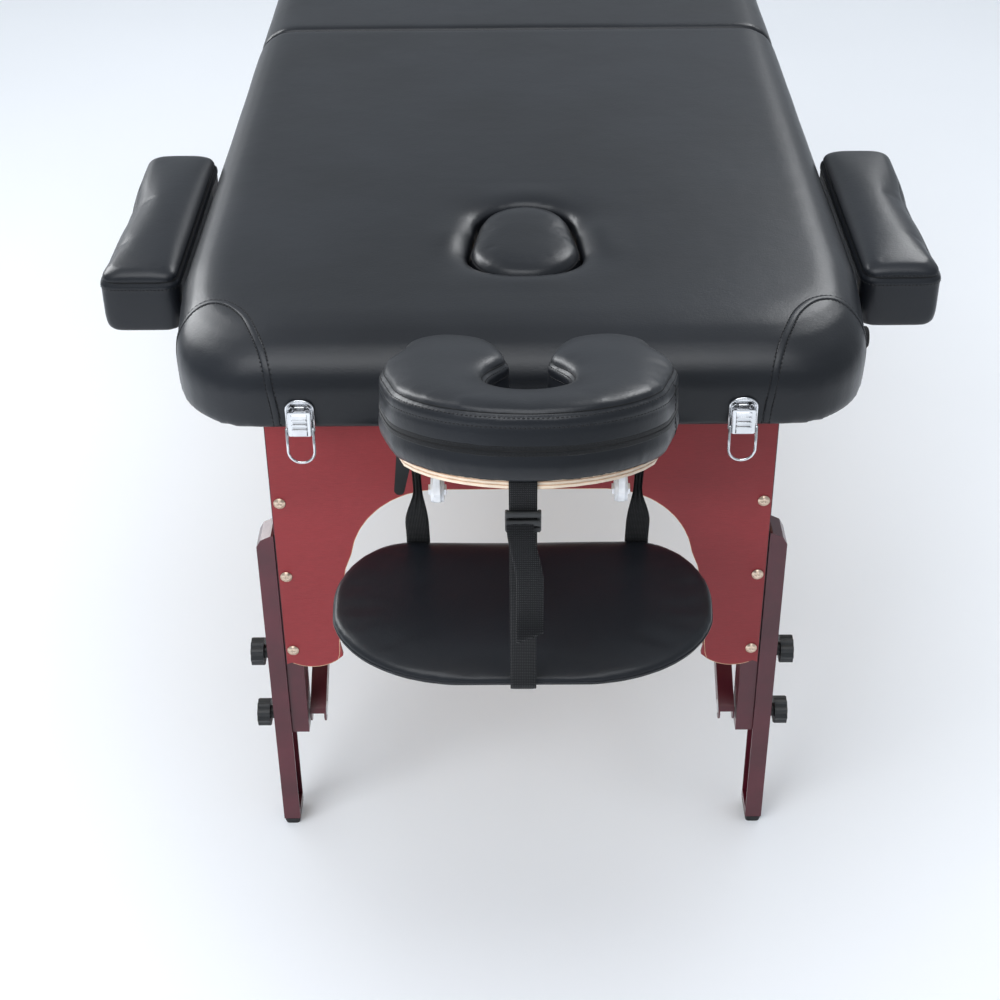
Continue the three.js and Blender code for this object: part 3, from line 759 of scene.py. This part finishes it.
def breath_plug():
    """A crowned cushion with a seam round its upper edge, drawn as a line of painted shade."""
    plug = remeshed("breath_plug", "breath_plug_cover", voxel=3.5, rounds=4)
    co = points_of(plug)
    x, y, z = in_layout(co)
    gap = np.hypot(x[:, None] - hole[None, :, 0], y[:, None] - hole[None, :, 1]).min(1)
    crown = smoothstep(2, 50, gap) * smoothstep(670, 697, z)
    co[:, 2] += (crown * 3.5 - 2.6 * smoothstep(660, 697, z)) / 1000
    # The cover fills the hole but for a narrow dark gap, and the foam below it touches the hole's wall.
    half = np.array([abs(x - BREATH[0]).max(), abs(y - BREATH[1]).max()])
    room = np.array([abs(hole[:, 0] - BREATH[0]).max(), abs(hole[:, 1] - BREATH[1]).max()])
    upper = smoothstep(668, 682, z)
    touch, gaps = 0.2, (4.5, 2.0)
    for axis, place in enumerate((x, y)):
        want = room[axis] - (touch + (gaps[axis] - touch) * upper)
        co[:, axis] += (place - BREATH[axis]) * (want / half[axis] - 1) / 1000
    set_points(plug, co)
    x, y, z = in_layout(points_of(plug))
    inflate(plug, z < 676, pressure=3.0, cap=3)
    dress(plug, "breath_plug")
    edge = slice_loop(plug, at(0, 0, PAD_TOP - 14), (0, 0, 1))
    edge = smoothed(resampled(edge, LOOP_STEP, True), 4, True)
    # Painted shade: a near-black line along the seam groove.
    ribbon("plug_seam_shade", snapped(edge, tree(plug)), 1.4, 0.5, SHADE_AND_COIL, "breath_plug", closed=True)


breath_plug()


# ---------- face rest ----------
SEAM_HEIGHTS = (0.5, -2.5, -11)  # painted seam shade line and two rows of stitches, from the upper seam
ZIP_HEIGHT = -32
LOBE_LIFT = 5.0
SLOT_CLOSED = 9.0  # mm that each side of the slot is closed by


def row_at(obj, z):
    """The cushion's outline at one height."""
    return girth(obj, rest_at(0, 0, z), REST_N)


def face_cushion():
    """A horseshoe cushion: soft lobes, sewn channels round its side, and a zip."""
    cushion = remeshed("face_cushion", "face_rest_cushion", voxel=5, rounds=12)
    co = points_of(cushion)
    x, y, z = in_rest(co)
    lobes = smoothstep(120, 215, y) * smoothstep(-12, 4, z)
    co += np.array(REST_N) * (lobes * LOBE_LIFT / 1000)[:, None]
    close = (1 - smoothstep(28, 80, abs(x))) * smoothstep(135, 185, y)
    co[:, 0] -= np.sign(x) * SLOT_CLOSED * close / 1000
    set_points(cushion, co)
    x, y, z = in_rest(points_of(cushion))
    inflate(cushion, z < -46, pressure=4.0, cap=7)
    relax(cushion, 9)
    x, y, z = in_rest(points_of(cushion))
    lobe_ends = smoothstep(80, 105, abs(x)) * smoothstep(165, 190, y) * smoothstep(-55, -40, z)
    relax(cushion, 26, lobe_ends)
    refine(cushion)
    co = points_of(cushion)
    x, y, z = in_rest(co)
    nor = normals_of(cushion)
    wall = 1 - smoothstep(0.75, 0.97, abs(nor @ np.array(REST_N)))
    groove = 1.5 * np.exp(-(((z - 0.5) / 2.2) ** 2)) - 0.7 * np.exp(-(((z + 6) / 4.0) ** 2))
    groove += 0.6 * np.exp(-(((z + 12.5) / 2.2) ** 2)) + 0.4 * np.exp(-(((z + 32) / 5.5) ** 2))
    tuck = -2.0 * np.exp(-(((z + 48) / 9) ** 2))
    rim = (1 - smoothstep(-60, -48, z)) * wall
    co -= nor * ((groove + tuck) * wall / 1000)[:, None]
    co -= np.array(REST_N) * (rim * 3.5 / 1000)[:, None]
    for i in range(len(co)):
        p = Vector((x[i] / 55, y[i] / 60, z[i] / 40))
        co[i] += nor[i] * (noise.noise(p) * 0.4 / 1000)
    set_points(cushion, co)
    dress(cushion, "face_cushion")
    seam, row_top, row_low = (row_at(cushion, height) for height in SEAM_HEIGHTS)
    # Painted shade: a near-black line in the groove of the upper seam.
    ribbon("cushion_seam_shade_top", seam, 0.9, 0.35, SHADE_AND_COIL, "rest_board", closed=True)
    stitches("cushion_stitch_top", row_top, "rest_board", closed=True, wide=1.3, high=0.7)
    stitches("cushion_stitch_low", row_low, "rest_board", closed=True, wide=1.3, high=0.7)
    side_seam = snapped([rest_at(141, 112, -1.5 * k - 1) for k in range(37)], tree(cushion))
    # Painted shade: a near-black line in the groove of the side seam.
    ribbon("cushion_side_seam_shade", side_seam, 1.3, 0.5, SHADE_AND_COIL, "rest_board")
    stitches("cushion_side_stitch", side_seam, "rest_board", shift=3.4, wide=1.2, high=0.7)
    zip_line = row_at(cushion, ZIP_HEIGHT)
    ribbon("cushion_zip", zip_line, 10.0, 0.5, ZIP, "rest_board", closed=True)
    thread = dict(wide=0.8, high=0.9, long=2.2, pitch=3.2)
    for row, shift in (("a", 3.6), ("b", -3.6)):
        stitches(f"cushion_zip_stitch_{row}", zip_line, "rest_board", closed=True, shift=shift, **thread)
    ribbon("cushion_zip_coil", zip_line, 1.6, 0.9, SHADE_AND_COIL, "rest_board", closed=True)


face_cushion()

# Glue lines of the ply round the board's edge.
board = nodes["rest_board"]
for k, z in enumerate((-63.2, -66.4)):
    loop = slice_loop(board, rest_at(0, 0, z), REST_N)
    line = snapped(smoothed(resampled(loop, LOOP_STEP, True), 2, True), tree(board), 0.0002)
    ribbon(f"rest_board_ply_{k}", line, 1.0, 0.25, EDGE_PLY, "rest_board", closed=True)

# Light grey hinge plates under the board, each with its washer and bolt head.
PLATE = [
    (196, -70.2), (80, -70.2), (80, -78), (86, -100), (92, -109),
    (102, -113), (112, -109), (118, -100), (150, -84), (196, -79),
]  # fmt: skip
PLATE_AXLE = (102, -100)
for side, s in SIDES:
    bm = bmesh.new()
    a = [bm.verts.new(rest_at(s * 81.5, *q)) for q in PLATE]
    b = [bm.verts.new(rest_at(s * 87.5, *q)) for q in PLATE]
    bm.faces.new(a)
    bm.faces.new(b)
    for k in range(len(PLATE)):
        j = (k + 1) % len(PLATE)
        bm.faces.new((a[k], a[j], b[j], b[k]))
    bmesh.ops.recalc_face_normals(bm, faces=bm.faces)
    disc(bm, rest_at(s * 84.5, *PLATE_AXLE), (1, 0, 0), 11.5, 12, 32)
    from_bmesh(f"rest_plate_{side}", bm, WHITE, "rest_board")
    bm = bmesh.new()
    disc(bm, rest_at(s * 84.5, *PLATE_AXLE), (1, 0, 0), 5.4, 16.5, 6)
    from_bmesh(f"rest_plate_nut_{side}", bm, MATS["steel"], "rest_board")


# ---------- armrests ----------
ARM_CROWN = 5.0
ARM_RAISED = 8.0  # mm that the pads stand taller than the CAD solids


def wavy(obj, s):
    """An armrest's outer side bulges at its ends and is drawn in at the middle, and its top is crowned."""
    co = points_of(obj)
    x, y, z = in_layout(co)
    out = smoothstep(384, 470, s * x)
    t = (y - ARM_Y[0]) / (ARM_Y[1] - ARM_Y[0])
    wave = 2.4 * np.cos(2 * np.pi * t) - 1.2 + 0.8 * np.cos(5 * np.pi * t + 0.6)
    co[:, 0] += s * wave * out * smoothstep(ARM_Z[0], ARM_Z[0] + 20, z) / 1000
    u = (s * x - 433) / 45
    v = (y - 405) / 175
    crown = np.clip(1 - u**2, 0, 1) * np.clip(1 - v**4, 0, 1)
    co[:, 2] += ARM_CROWN * crown * smoothstep(ARM_Z[1] - 25, ARM_Z[1] - 1, z) / 1000
    co[:, 2] += ARM_RAISED * smoothstep(ARM_Z[0] + 4, ARM_Z[1] - 14, z) / 1000
    set_points(obj, co)


def armrest(side, s):
    body = f"armrest_{side}"
    pad = remeshed(f"armrest_pad_{side}", f"armrest_cushion_{side}", voxel=5, rounds=4)
    wavy(pad, s)
    x, _, z = in_layout(points_of(pad))
    inflate(pad, (z < 608) | (s * x < 391), pressure=4.0, cap=5)
    relax(pad, 1)
    refine(pad)
    co = points_of(pad)
    z = in_layout(co)[2]
    nor = normals_of(pad)
    wall = 1 - smoothstep(0.7, 0.96, abs(nor[:, 2]))
    pinch = 1.6 * np.exp(-(((z - ARM_Z[1] + 4) / 2.4) ** 2))
    pinch -= 0.9 * np.exp(-(((z - ARM_Z[1] + 9) / 3.4) ** 2))
    co -= nor * (pinch * wall / 1000)[:, None]
    set_points(pad, co)
    dress(pad, f"armrest_pad_{side}")
    thread = dict(wide=1.7, high=1.0, long=3.4)
    seam = girth(pad, at(0, 0, ARM_Z[1] - 4), (0, 0, 1))
    # Painted shade: a near-black line along the seam groove.
    ribbon(f"armrest_seam_shade_{side}", seam, 1.3, 0.45, SHADE_AND_COIL, body, closed=True)
    stitches(f"armrest_stitch_top_{side}", seam, body, closed=True, shift=2.2, **thread)
    low_row = girth(pad, at(0, 0, ARM_Z[1] - 12), (0, 0, 1))
    stitches(f"armrest_stitch_low_{side}", low_row, body, closed=True, **thread)


for side, s in SIDES:
    armrest(side, s)


# ---------- arm shelf ----------
SHELF_SLIM = 0.54  # share of the CAD solid's thickness that the pad keeps
SLIM_LOW = SHELF_TOP - (SHELF_TOP - SHELF_LOW) * SHELF_SLIM
SHELF_REAR = 4.0  # mm that the rear edge stands higher and further back


def arm_shelf():
    """A slim padded board with a bound edge."""
    shelf = remeshed("arm_shelf", "arm_shelf_pad", voxel=5, rounds=4)
    x, y, z = in_layout(points_of(shelf))
    inflate(shelf, z < SHELF_LOW + 10, pressure=1.5, cap=4)
    relax(shelf, 6)
    co = points_of(shelf)
    x, y, z = in_layout(co)
    high = smoothstep(SHELF_TOP - 14, SHELF_TOP, z)
    for i in np.flatnonzero(high > 0.01):
        co[i, 2] += 0.8 * noise.noise(Vector((x[i] / 90, y[i] / 90, 0))) * high[i] / 1000
    co[:, 2] = (SHELF_TOP - (SHELF_TOP - z) * SHELF_SLIM) / 1000 + (co[:, 2] - z / 1000)
    co[:, 2] += SHELF_REAR / 1000 * high * smoothstep(-110, -30, y)
    co[:, 1] += SHELF_REAR / 1000 * smoothstep(-90, -26, y)
    set_points(shelf, co)
    dress(shelf, "arm_shelf")
    edge = girth(shelf, at(0, 0, SLIM_LOW + 4), (0, 0, 1))
    ribbon("shelf_edge", edge, 5.0, 0.9, MATS["vinyl"], "arm_shelf", closed=True)
    # Painted shade: a near-black line along the seam groove of the bound edge.
    ribbon("shelf_edge_seam_shade", edge, 0.9, 1.1, SHADE_AND_COIL, "arm_shelf", closed=True)


arm_shelf()


# ---------- webbing ----------
STRAP_WIDTH = 25
STRAP_THICK = 1.9
STRAP_STEP = 4.0


def strap(name, route, x0, x1, width0=STRAP_WIDTH, node=None, taper=70, hold=0.0, slant=0.0):
    """A flat woven strap along layout (y, z) points.

    It is gathered to width0 about x0 for hold mm from its start, and opens over taper mm to its full width
    about x1. A slant cuts its end at an angle."""
    mid = [Vector((0, y, z)) for y, z in route]
    line = resampled(spline(mid, 12), STRAP_STEP)
    n = len(line)
    verts, faces = [], []
    cols = 9
    for i, p in enumerate(line):
        a = line[max(i - 1, 0)]
        b = line[min(i + 1, n - 1)]
        t = (b - a).normalized()
        nor = Vector((0, -t.z, t.y))
        f = min(1.0, max(0.0, i * STRAP_STEP - hold) / taper)
        f = f * f * (3 - 2 * f)
        width = width0 + (STRAP_WIDTH - width0) * f
        middle = x0 + (x1 - x0) * f
        for side in (1, -1):
            for k in range(cols):
                u = k / (cols - 1) * 2 - 1
                pleat = (1 - f) * (1 - width / STRAP_WIDTH) * 5 * math.cos(u * 9)
                q = p + nor * (side * STRAP_THICK / 2 * (1 - 0.45 * abs(u) ** 6) + pleat)
                q += t * (u * slant * max(0, i - n + 5) / 4)
                verts.append(at(middle + u * width / 2, q.y, q.z))
    k2 = cols * 2
    for i in range(n - 1):
        for k in range(cols - 1):
            a, b = i * k2 + k, (i + 1) * k2 + k
            faces.append((a, a + 1, b + 1, b))
            faces.append((a + cols, b + cols, b + cols + 1, a + cols + 1))
        for k, up in ((0, 1), (cols - 1, 0)):
            a, b = i * k2 + k, (i + 1) * k2 + k
            faces.append((a, b, b + cols, a + cols) if up else (a, a + cols, b + cols, b))
    for i in (0, n - 1):
        for k in range(cols - 1):
            a = i * k2 + k
            end_face = (a, a + cols, a + cols + 1, a + 1)
            faces.append(tuple(reversed(end_face)) if i else end_face)
    obj = make(name, verts, faces, MATS["webbing"], None)
    fix_normals(obj)
    if node:
        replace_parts(obj, node)
    return obj


def rest_yz(y, z):
    """A point of the tilted face rest as layout y and z."""
    p = rest_at(0, y, z)
    return ((p.y - END_Y) * 1000, p.z * 1000)


FRONT_Y, REAR_Y = SHELF_Y
FRONT_TOP = rest_yz(12, BOARD_LOW - 2.2)
FRONT_BEND = (FRONT_Y - 12, SHELF_TOP + 60)
REAR_TOP = rest_yz(215, BOARD_LOW - 2.2)


def front_strap():
    """Lies under the board, runs down through the lock and turns under the shelf."""
    route = [
        rest_yz(60, BOARD_LOW - 1.6), rest_yz(26, BOARD_LOW - 1.8), FRONT_TOP,
        FRONT_BEND, (FRONT_Y - 4.5, SHELF_TOP + 6), (FRONT_Y - 3.2, SLIM_LOW + 4),
        (FRONT_Y + 4, SLIM_LOW - 1.8), (FRONT_Y + 24, SLIM_LOW - 2), (FRONT_Y + 60, SLIM_LOW - 2),
    ]  # fmt: skip
    obj = strap("shelf_strap_front", route, 0, 0, node="strap_front")
    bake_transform(obj)


def rear_strap(side, s):
    """Hangs gathered from the board, a little further in at its top, and turns under the shelf."""
    x = REST_X + s * 117
    route = [
        REAR_TOP, (REAR_Y - 28, 560), (REAR_Y + 2.5, SHELF_TOP + 8),
        (REAR_Y + 2.6, SLIM_LOW + 3), (REAR_Y - 5, SLIM_LOW - 2), (REAR_Y - 44, SLIM_LOW - 2),
    ]  # fmt: skip
    node = f"strap_rear_{side}"
    obj = strap(f"shelf_strap_rear_{side}", route, x - s * 4, x, 9, node, taper=75, hold=105)
    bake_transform(obj)


def strap_tail(lock):
    """Loose end of the front strap, hanging from its lock and turned a little aside."""
    y, z = (lock.y - END_Y) * 1000, lock.z * 1000
    route = [(y - 3, z + 2), (y - 9, z - 12), (y - 10, z - 50), (y - 7, z - 100), (y - 13, z - 122)]
    obj = strap("strap_tail", route, -3, 6, 24, slant=-5)
    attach(obj, "arm_shelf")


def ladder_lock(lock):
    """Three bars across the front strap and two side bars, in the strap's own direction."""
    along = (at(0, *FRONT_TOP) - at(0, *FRONT_BEND)).normalized()
    out = Vector((0, -along.z, along.y))
    turn = Matrix(((1, 0, 0), tuple(along), tuple(out))).transposed()
    bm = bmesh.new()

    def bar(x0, x1, length, thick, bevel, y, z):
        for v in box_mm(bm, x0, x1, 0, length, 0, thick, bevel):
            p = v.co - at(0, 0, 0)
            v.co = lock + turn @ Vector((p.x, p.y + y / 1000, p.z + z / 1000))

    for y0, y1, z in ((-12, -6, 0.6), (-3.2, 3.2, 2.0), (6, 12, 0.6)):
        bar(-15.5, 15.5, y1 - y0, 3.6, 1.3, y0, z)
    for x0 in (-16, 12.4):
        bar(x0, x0 + 3.6, 24, 4.4, 1.2, -12, -1.5)
    obj = from_bmesh("strap_ladder_lock", bm, MATS["black_plastic"], "arm_shelf")
    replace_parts(obj, "strap_lock")


front_strap()
for side, s in SIDES:
    rear_strap(side, s)
lock_lo, lock_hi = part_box("strap_lock")
lock_middle = (lock_lo + lock_hi) / 2
strap_tail(lock_middle)
ladder_lock(lock_middle)


# ---------- latches ----------
def chrome_boxes(name, body, boxes):
    """Rounded boxes in one chrome piece, each as its layout corners and its bevel."""
    bm = bmesh.new()
    for box in boxes:
        box_mm(bm, *box)
    from_bmesh(name, bm, MATS["chrome"], body, True)


def latch_plate(side, x):
    """Base plate with a rounded head, a raised rim, three rivets, side ears and stamped ribs."""
    half, shoulder, foot = 14.5, 606, 599
    bm = bmesh.new()
    outline = []
    for k in range(13):
        a = math.pi * k / 12
        outline.append((x + half * math.cos(a), 633 + 10 * math.sin(a)))
    head = list(outline)
    outline += [(x - half, shoulder), (x - 9, foot), (x + 9, foot), (x + half, shoulder)]
    back = [bm.verts.new(at(px, -0.3, pz)) for px, pz in outline]
    face = [bm.verts.new(at(x + (px - x) * 0.94, -1.9, 620 + (pz - 620) * 0.96)) for px, pz in outline]
    bm.faces.new(back)
    bm.faces.new(face)
    for k in range(len(outline)):
        j = (k + 1) % len(outline)
        bm.faces.new((back[k], back[j], face[j], face[k]))
    for dx, z in ((-8.5, 633), (8.5, 633), (0, 603)):
        m = Matrix.Translation(at(x + dx, -1.8, z)) @ Matrix.Diagonal((0.0028, 0.0007, 0.0028, 1))
        bmesh.ops.create_uvsphere(bm, u_segments=14, v_segments=8, radius=1, matrix=m)
    bmesh.ops.recalc_face_normals(bm, faces=bm.faces)
    base = from_bmesh(f"latch_plate_{side}", bm, MATS["chrome"], "head_section")
    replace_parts(base, f"latch_base_{side}")
    ears = [(x + k * 11.4 - 1, x + k * 11.4 + 1, -11, -1.5, shoulder, 633, 0.9) for k in (-1, 1)]
    chrome_boxes(f"latch_ears_{side}", "head_section", ears)
    rim = [at(px * 0.97 + x * 0.03, -1.9, pz) for px, pz in head]
    rim = [at(x + 14.1, -1.9, 607)] + rim + [at(x - 14.1, -1.9, 607)]
    wire(f"latch_rim_{side}", rim, 1.3, "head_section")
    ribs = []
    for z in (622.5, 628.5, 634.5):
        reach = 8.5 - (z - 622) * 0.25
        ribs.append((x - reach, x + reach, -3.1, -1.6, z - 1.3, z + 1.3, 0.7))
    chrome_boxes(f"latch_plate_ribs_{side}", "head_section", ribs)


def latch_lever(side, x):
    """The lever's pressed face: a shallow tray with five ribs, and painted shade in the gaps between them.
    """
    body = f"latch_lever_{side}"
    lo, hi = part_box(body)
    y0 = (lo.y - END_Y) * 1000
    z0, z1 = lo.z * 1000, hi.z * 1000
    pitch = (z1 - z0 - 16) / 4
    boxes = [(x - 8.4, x + 8.4, y0 + 0.8, y0 + 3.4, z0, z1 - 2, 1.2)]
    for k in range(5):
        z = z0 + 8 + k * pitch
        boxes.append((x - 7.6, x + 7.6, y0 - 0.2, y0 + 2.4, z - 1.1, z + 1.1, 0.9))
    chrome_boxes(f"latch_lever_ribs_{side}", body, boxes)
    # Near-black boxes in the gaps between the ribs: painted shade.
    bm = bmesh.new()
    for k in range(4):
        z = z0 + 8 + (k + 0.5) * pitch
        box_mm(bm, x - 6.6, x + 6.6, y0 + 0.55, y0 + 2.4, z - 1.2, z + 1.2, 0.2)
    from_bmesh(f"latch_lever_gap_shade_{side}", bm, SHADE_AND_COIL, body)


def latch_bail(side, x):
    """A U of round wire."""
    half, inset, cut = 13.8, 1.6, 0.12
    body = f"latch_bail_{side}"
    lo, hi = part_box(body)
    y = ((lo.y + hi.y) / 2 - END_Y) * 1000
    top, bend = hi.z * 1000 - inset, lo.z * 1000 + inset + half
    line = [at(x - half, y, top), at(x - half, y, bend)]
    for a in np.linspace(cut, math.pi - cut, 15):
        line.append(at(x - half * math.cos(a), y, bend - half * math.sin(a)))
    line += [at(x + half, y, bend), at(x + half, y, top)]
    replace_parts(wire(f"latch_wire_{side}", line, 1.5, body), body)


for side, s in SIDES:
    latch_plate(side, s * LATCH_X)
    latch_lever(side, s * LATCH_X)
    latch_bail(side, s * LATCH_X)


# ---------- end panels, legs and small fittings ----------
def screw(bm, centre, axis, radius):
    """A round-headed screw with a cross recess shown as four raised quarters."""
    axis = Vector(axis).normalized()
    m = axis.to_track_quat("Z", "Y").to_matrix().to_4x4()
    m.translation = centre
    dome = m @ Matrix.Diagonal((radius, radius, radius * 0.5, 1))
    new = bmesh.ops.create_uvsphere(bm, u_segments=32, v_segments=14, radius=1, matrix=dome)["verts"]
    inverse = m.inverted()
    for v in new:
        p = inverse @ v.co
        arm = min(abs(p.x), abs(p.y))
        reach = max(abs(p.x), abs(p.y))
        if arm < radius * 0.13 and reach < radius * 0.62 and p.z > 0:
            p.z *= 0.45
            v.co = m @ p
    disc(bm, centre + axis * 0.0004, axis, radius * 1180, 0.9, 28)


def panel_screws(end, face, half, out):
    bm = bmesh.new()
    for side in (-1, 1):
        for z in (485, 385, 279):
            screw(bm, Vector((side * half, face, z / 1000)) + out * 0.0004, out, 0.0056)
    from_bmesh(f"{end}_panel_screws", bm, BRASS, f"{end}_leg_set", True)


def panel_edge(end, face, half, out):
    """Plain ply along the edge of the panel's arch."""
    ply_half, arch_top, leap = 3.05, 0.515, 0.03
    loop = slice_loop(nodes[f"{end}_panel"], Vector((0, face - out.y * 0.0031, 0)), (0, 1, 0))
    arch = [p for p in resampled(loop, 0.004, True) if abs(p.x) < half + 0.002 and p.z < arch_top]
    rows = smoothed(sorted(arch, key=lambda p: p.x), 1)
    verts, faces = [], []
    for i, p in enumerate(rows):
        a, b = rows[max(i - 1, 0)], rows[min(i + 1, len(rows) - 1)]
        t = (b - a).normalized()
        n = Vector((t.z, 0, -t.x))
        for dy, dn in ((-ply_half, -0.3), (-ply_half, 0.35), (ply_half, 0.35), (ply_half, -0.3)):
            q = Vector((p.x, face - out.y * 0.003, p.z)) + n * (dn / 1000) + Vector((0, dy / 1000, 0))
            verts.append(q)
    for i in range(len(rows) - 1):
        if (rows[i + 1] - rows[i]).length > leap:
            continue
        for k in range(4):
            j = (k + 1) % 4
            faces.append((i * 4 + k, i * 4 + j, (i + 1) * 4 + j, (i + 1) * 4 + k))
    edge = make(f"{end}_panel_edge", verts, faces, EDGE_PLY, f"{end}_leg_set", False)
    fix_normals(edge)


def strut_bolt(end, flip, side, s):
    """The washer between a leg and the end of its lower strut."""
    lo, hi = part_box(f"{end}_strut_lower_{side}")
    inset = 0.014
    inner = lo.x if s > 0 else hi.x
    bm = bmesh.new()
    c = Vector((inner, hi.y - inset if flip else lo.y + inset, lo.z + inset))
    disc(bm, c, (1, 0, 0), 8.5, 0.7, 28)
    from_bmesh(f"{end}_strut_bolt_{side}", bm, MATS["steel"], f"{end}_leg_set")


def buffer(end, y, z):
    """A rubber buffer on the right side rail, on which the folded table stands."""
    bm = bmesh.new()
    disc(bm, at(382, y, z), (1, 0, 0), 14, 15, 32, 12)
    disc(bm, at(389.2, y, z), (1, 0, 0), 6, 1.4, 24)
    bmesh.ops.bevel(bm, geom=bm.edges[:], offset=0.0012, segments=2, affect="EDGES")
    from_bmesh(f"{end}_buffer", bm, MATS["rubber"], f"{end}_section")


for end, flip in ENDS:
    lo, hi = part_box(f"{end}_panel")
    face = hi.y if flip else lo.y
    out = Vector((0, 1 if flip else -1, 0))
    half = min(-lo.x, hi.x) - 0.0085
    panel_screws(end, face, half, out)
    panel_edge(end, face, half, out)
for end, flip in ENDS:
    for side, s in SIDES:
        strut_bolt(end, flip, side, s)
buffer("head", 180, 614)
buffer("foot", 2 * FOLD_Y - 222, 619)


# ---------- studio ----------
def area(name, centre, target, size, power, lights=False):
    """A soft light: one that lights the surfaces, or else one that is only mirrored in them."""
    light = bpy.data.lights.new(name, "AREA")
    light.shape = "RECTANGLE"
    light.size, light.size_y = size
    light.energy = power
    light.color = (0.97, 0.985, 1.0)
    obj = bpy.data.objects.new(name, light)
    bpy.context.scene.collection.objects.link(obj)
    obj.location = centre
    obj.visible_camera = False
    obj.visible_glossy = not lights
    obj.visible_diffuse = lights
    obj.rotation_euler = (Vector(target) - Vector(centre)).to_track_quat("-Z", "Y").to_euler()


world = bpy.data.worlds.new("studio")
bpy.context.scene.world = world
world.use_nodes = True
back = world.node_tree.nodes["Background"]
back.inputs["Color"].default_value = (0.85, 0.92, 1.0, 1)
back.inputs["Strength"].default_value = 0.5

floor_mat = Mat("floor", (0.8, 0.82, 0.85), 0.6, spec=0.2)
floor_mat.shader.inputs["Emission Color"].default_value = (0.93, 0.96, 1.0, 1)
floor_mat.shader.inputs["Emission Strength"].default_value = 0.1
floor_mat.shades(floor_mat.noise(1.2, 2), 0.985, 1.01)
bm = bmesh.new()
bmesh.ops.create_grid(bm, x_segments=2, y_segments=2, size=14)
mesh = bpy.data.meshes.new("studio_floor")
bm.to_mesh(mesh)
bm.free()
floor = bpy.data.objects.new("studio_floor", mesh)
bpy.context.scene.collection.objects.link(floor)
mesh.materials.append(floor_mat.material)
floor.location.z = -0.0002

area("room", (0, 0.2, 3.3), (0, 0.2, 0), (4.2, 4.2), 104, lights=True)
area("room_front", (-2.3, -3.3, 2.3), (0, -0.6, 0), (2.6, 2.6), 104, lights=True)
area("overhead", (-0.3, -1.6, 3.1), (-0.2, -0.8, 0.6), (2.6, 1.7), 44)
area("left_box", (-2.3, 1.5, 2.0), at(-300, 400, 650), (1.2, 2.0), 66)
area("right_back_box", (1.7, 2.6, 2.9), at(430, 400, 650), (0.9, 1.2), 36)

# The photograph's camera, solved from the table's straight lines.
LENS, SENSOR = 64.456, 36
PITCH, YAW, ROLL = (math.radians(v) for v in (33.793, -0.568, -0.656))
EYE = at(-7.27, -1591.3, 1582.6)
cam_data = bpy.data.cameras.new("photo_view")
cam_data.lens = LENS
cam_data.sensor_width = SENSOR
cam = bpy.data.objects.new("photo_view", cam_data)
bpy.context.scene.collection.objects.link(cam)
bpy.context.scene.camera = cam
level = math.cos(PITCH)
forward = Vector((math.sin(YAW) * level, math.cos(YAW) * level, -math.sin(PITCH)))
right = Vector((math.cos(YAW), -math.sin(YAW), 0))
up = right.cross(forward)
rolled_right = right * math.cos(ROLL) + up * math.sin(ROLL)
rolled_up = up * math.cos(ROLL) - right * math.sin(ROLL)
pose = Matrix((rolled_right, rolled_up, -forward)).transposed().to_4x4()
pose.translation = EYE
cam.matrix_world = pose
bpy.context.scene.view_settings.view_transform = "Standard"
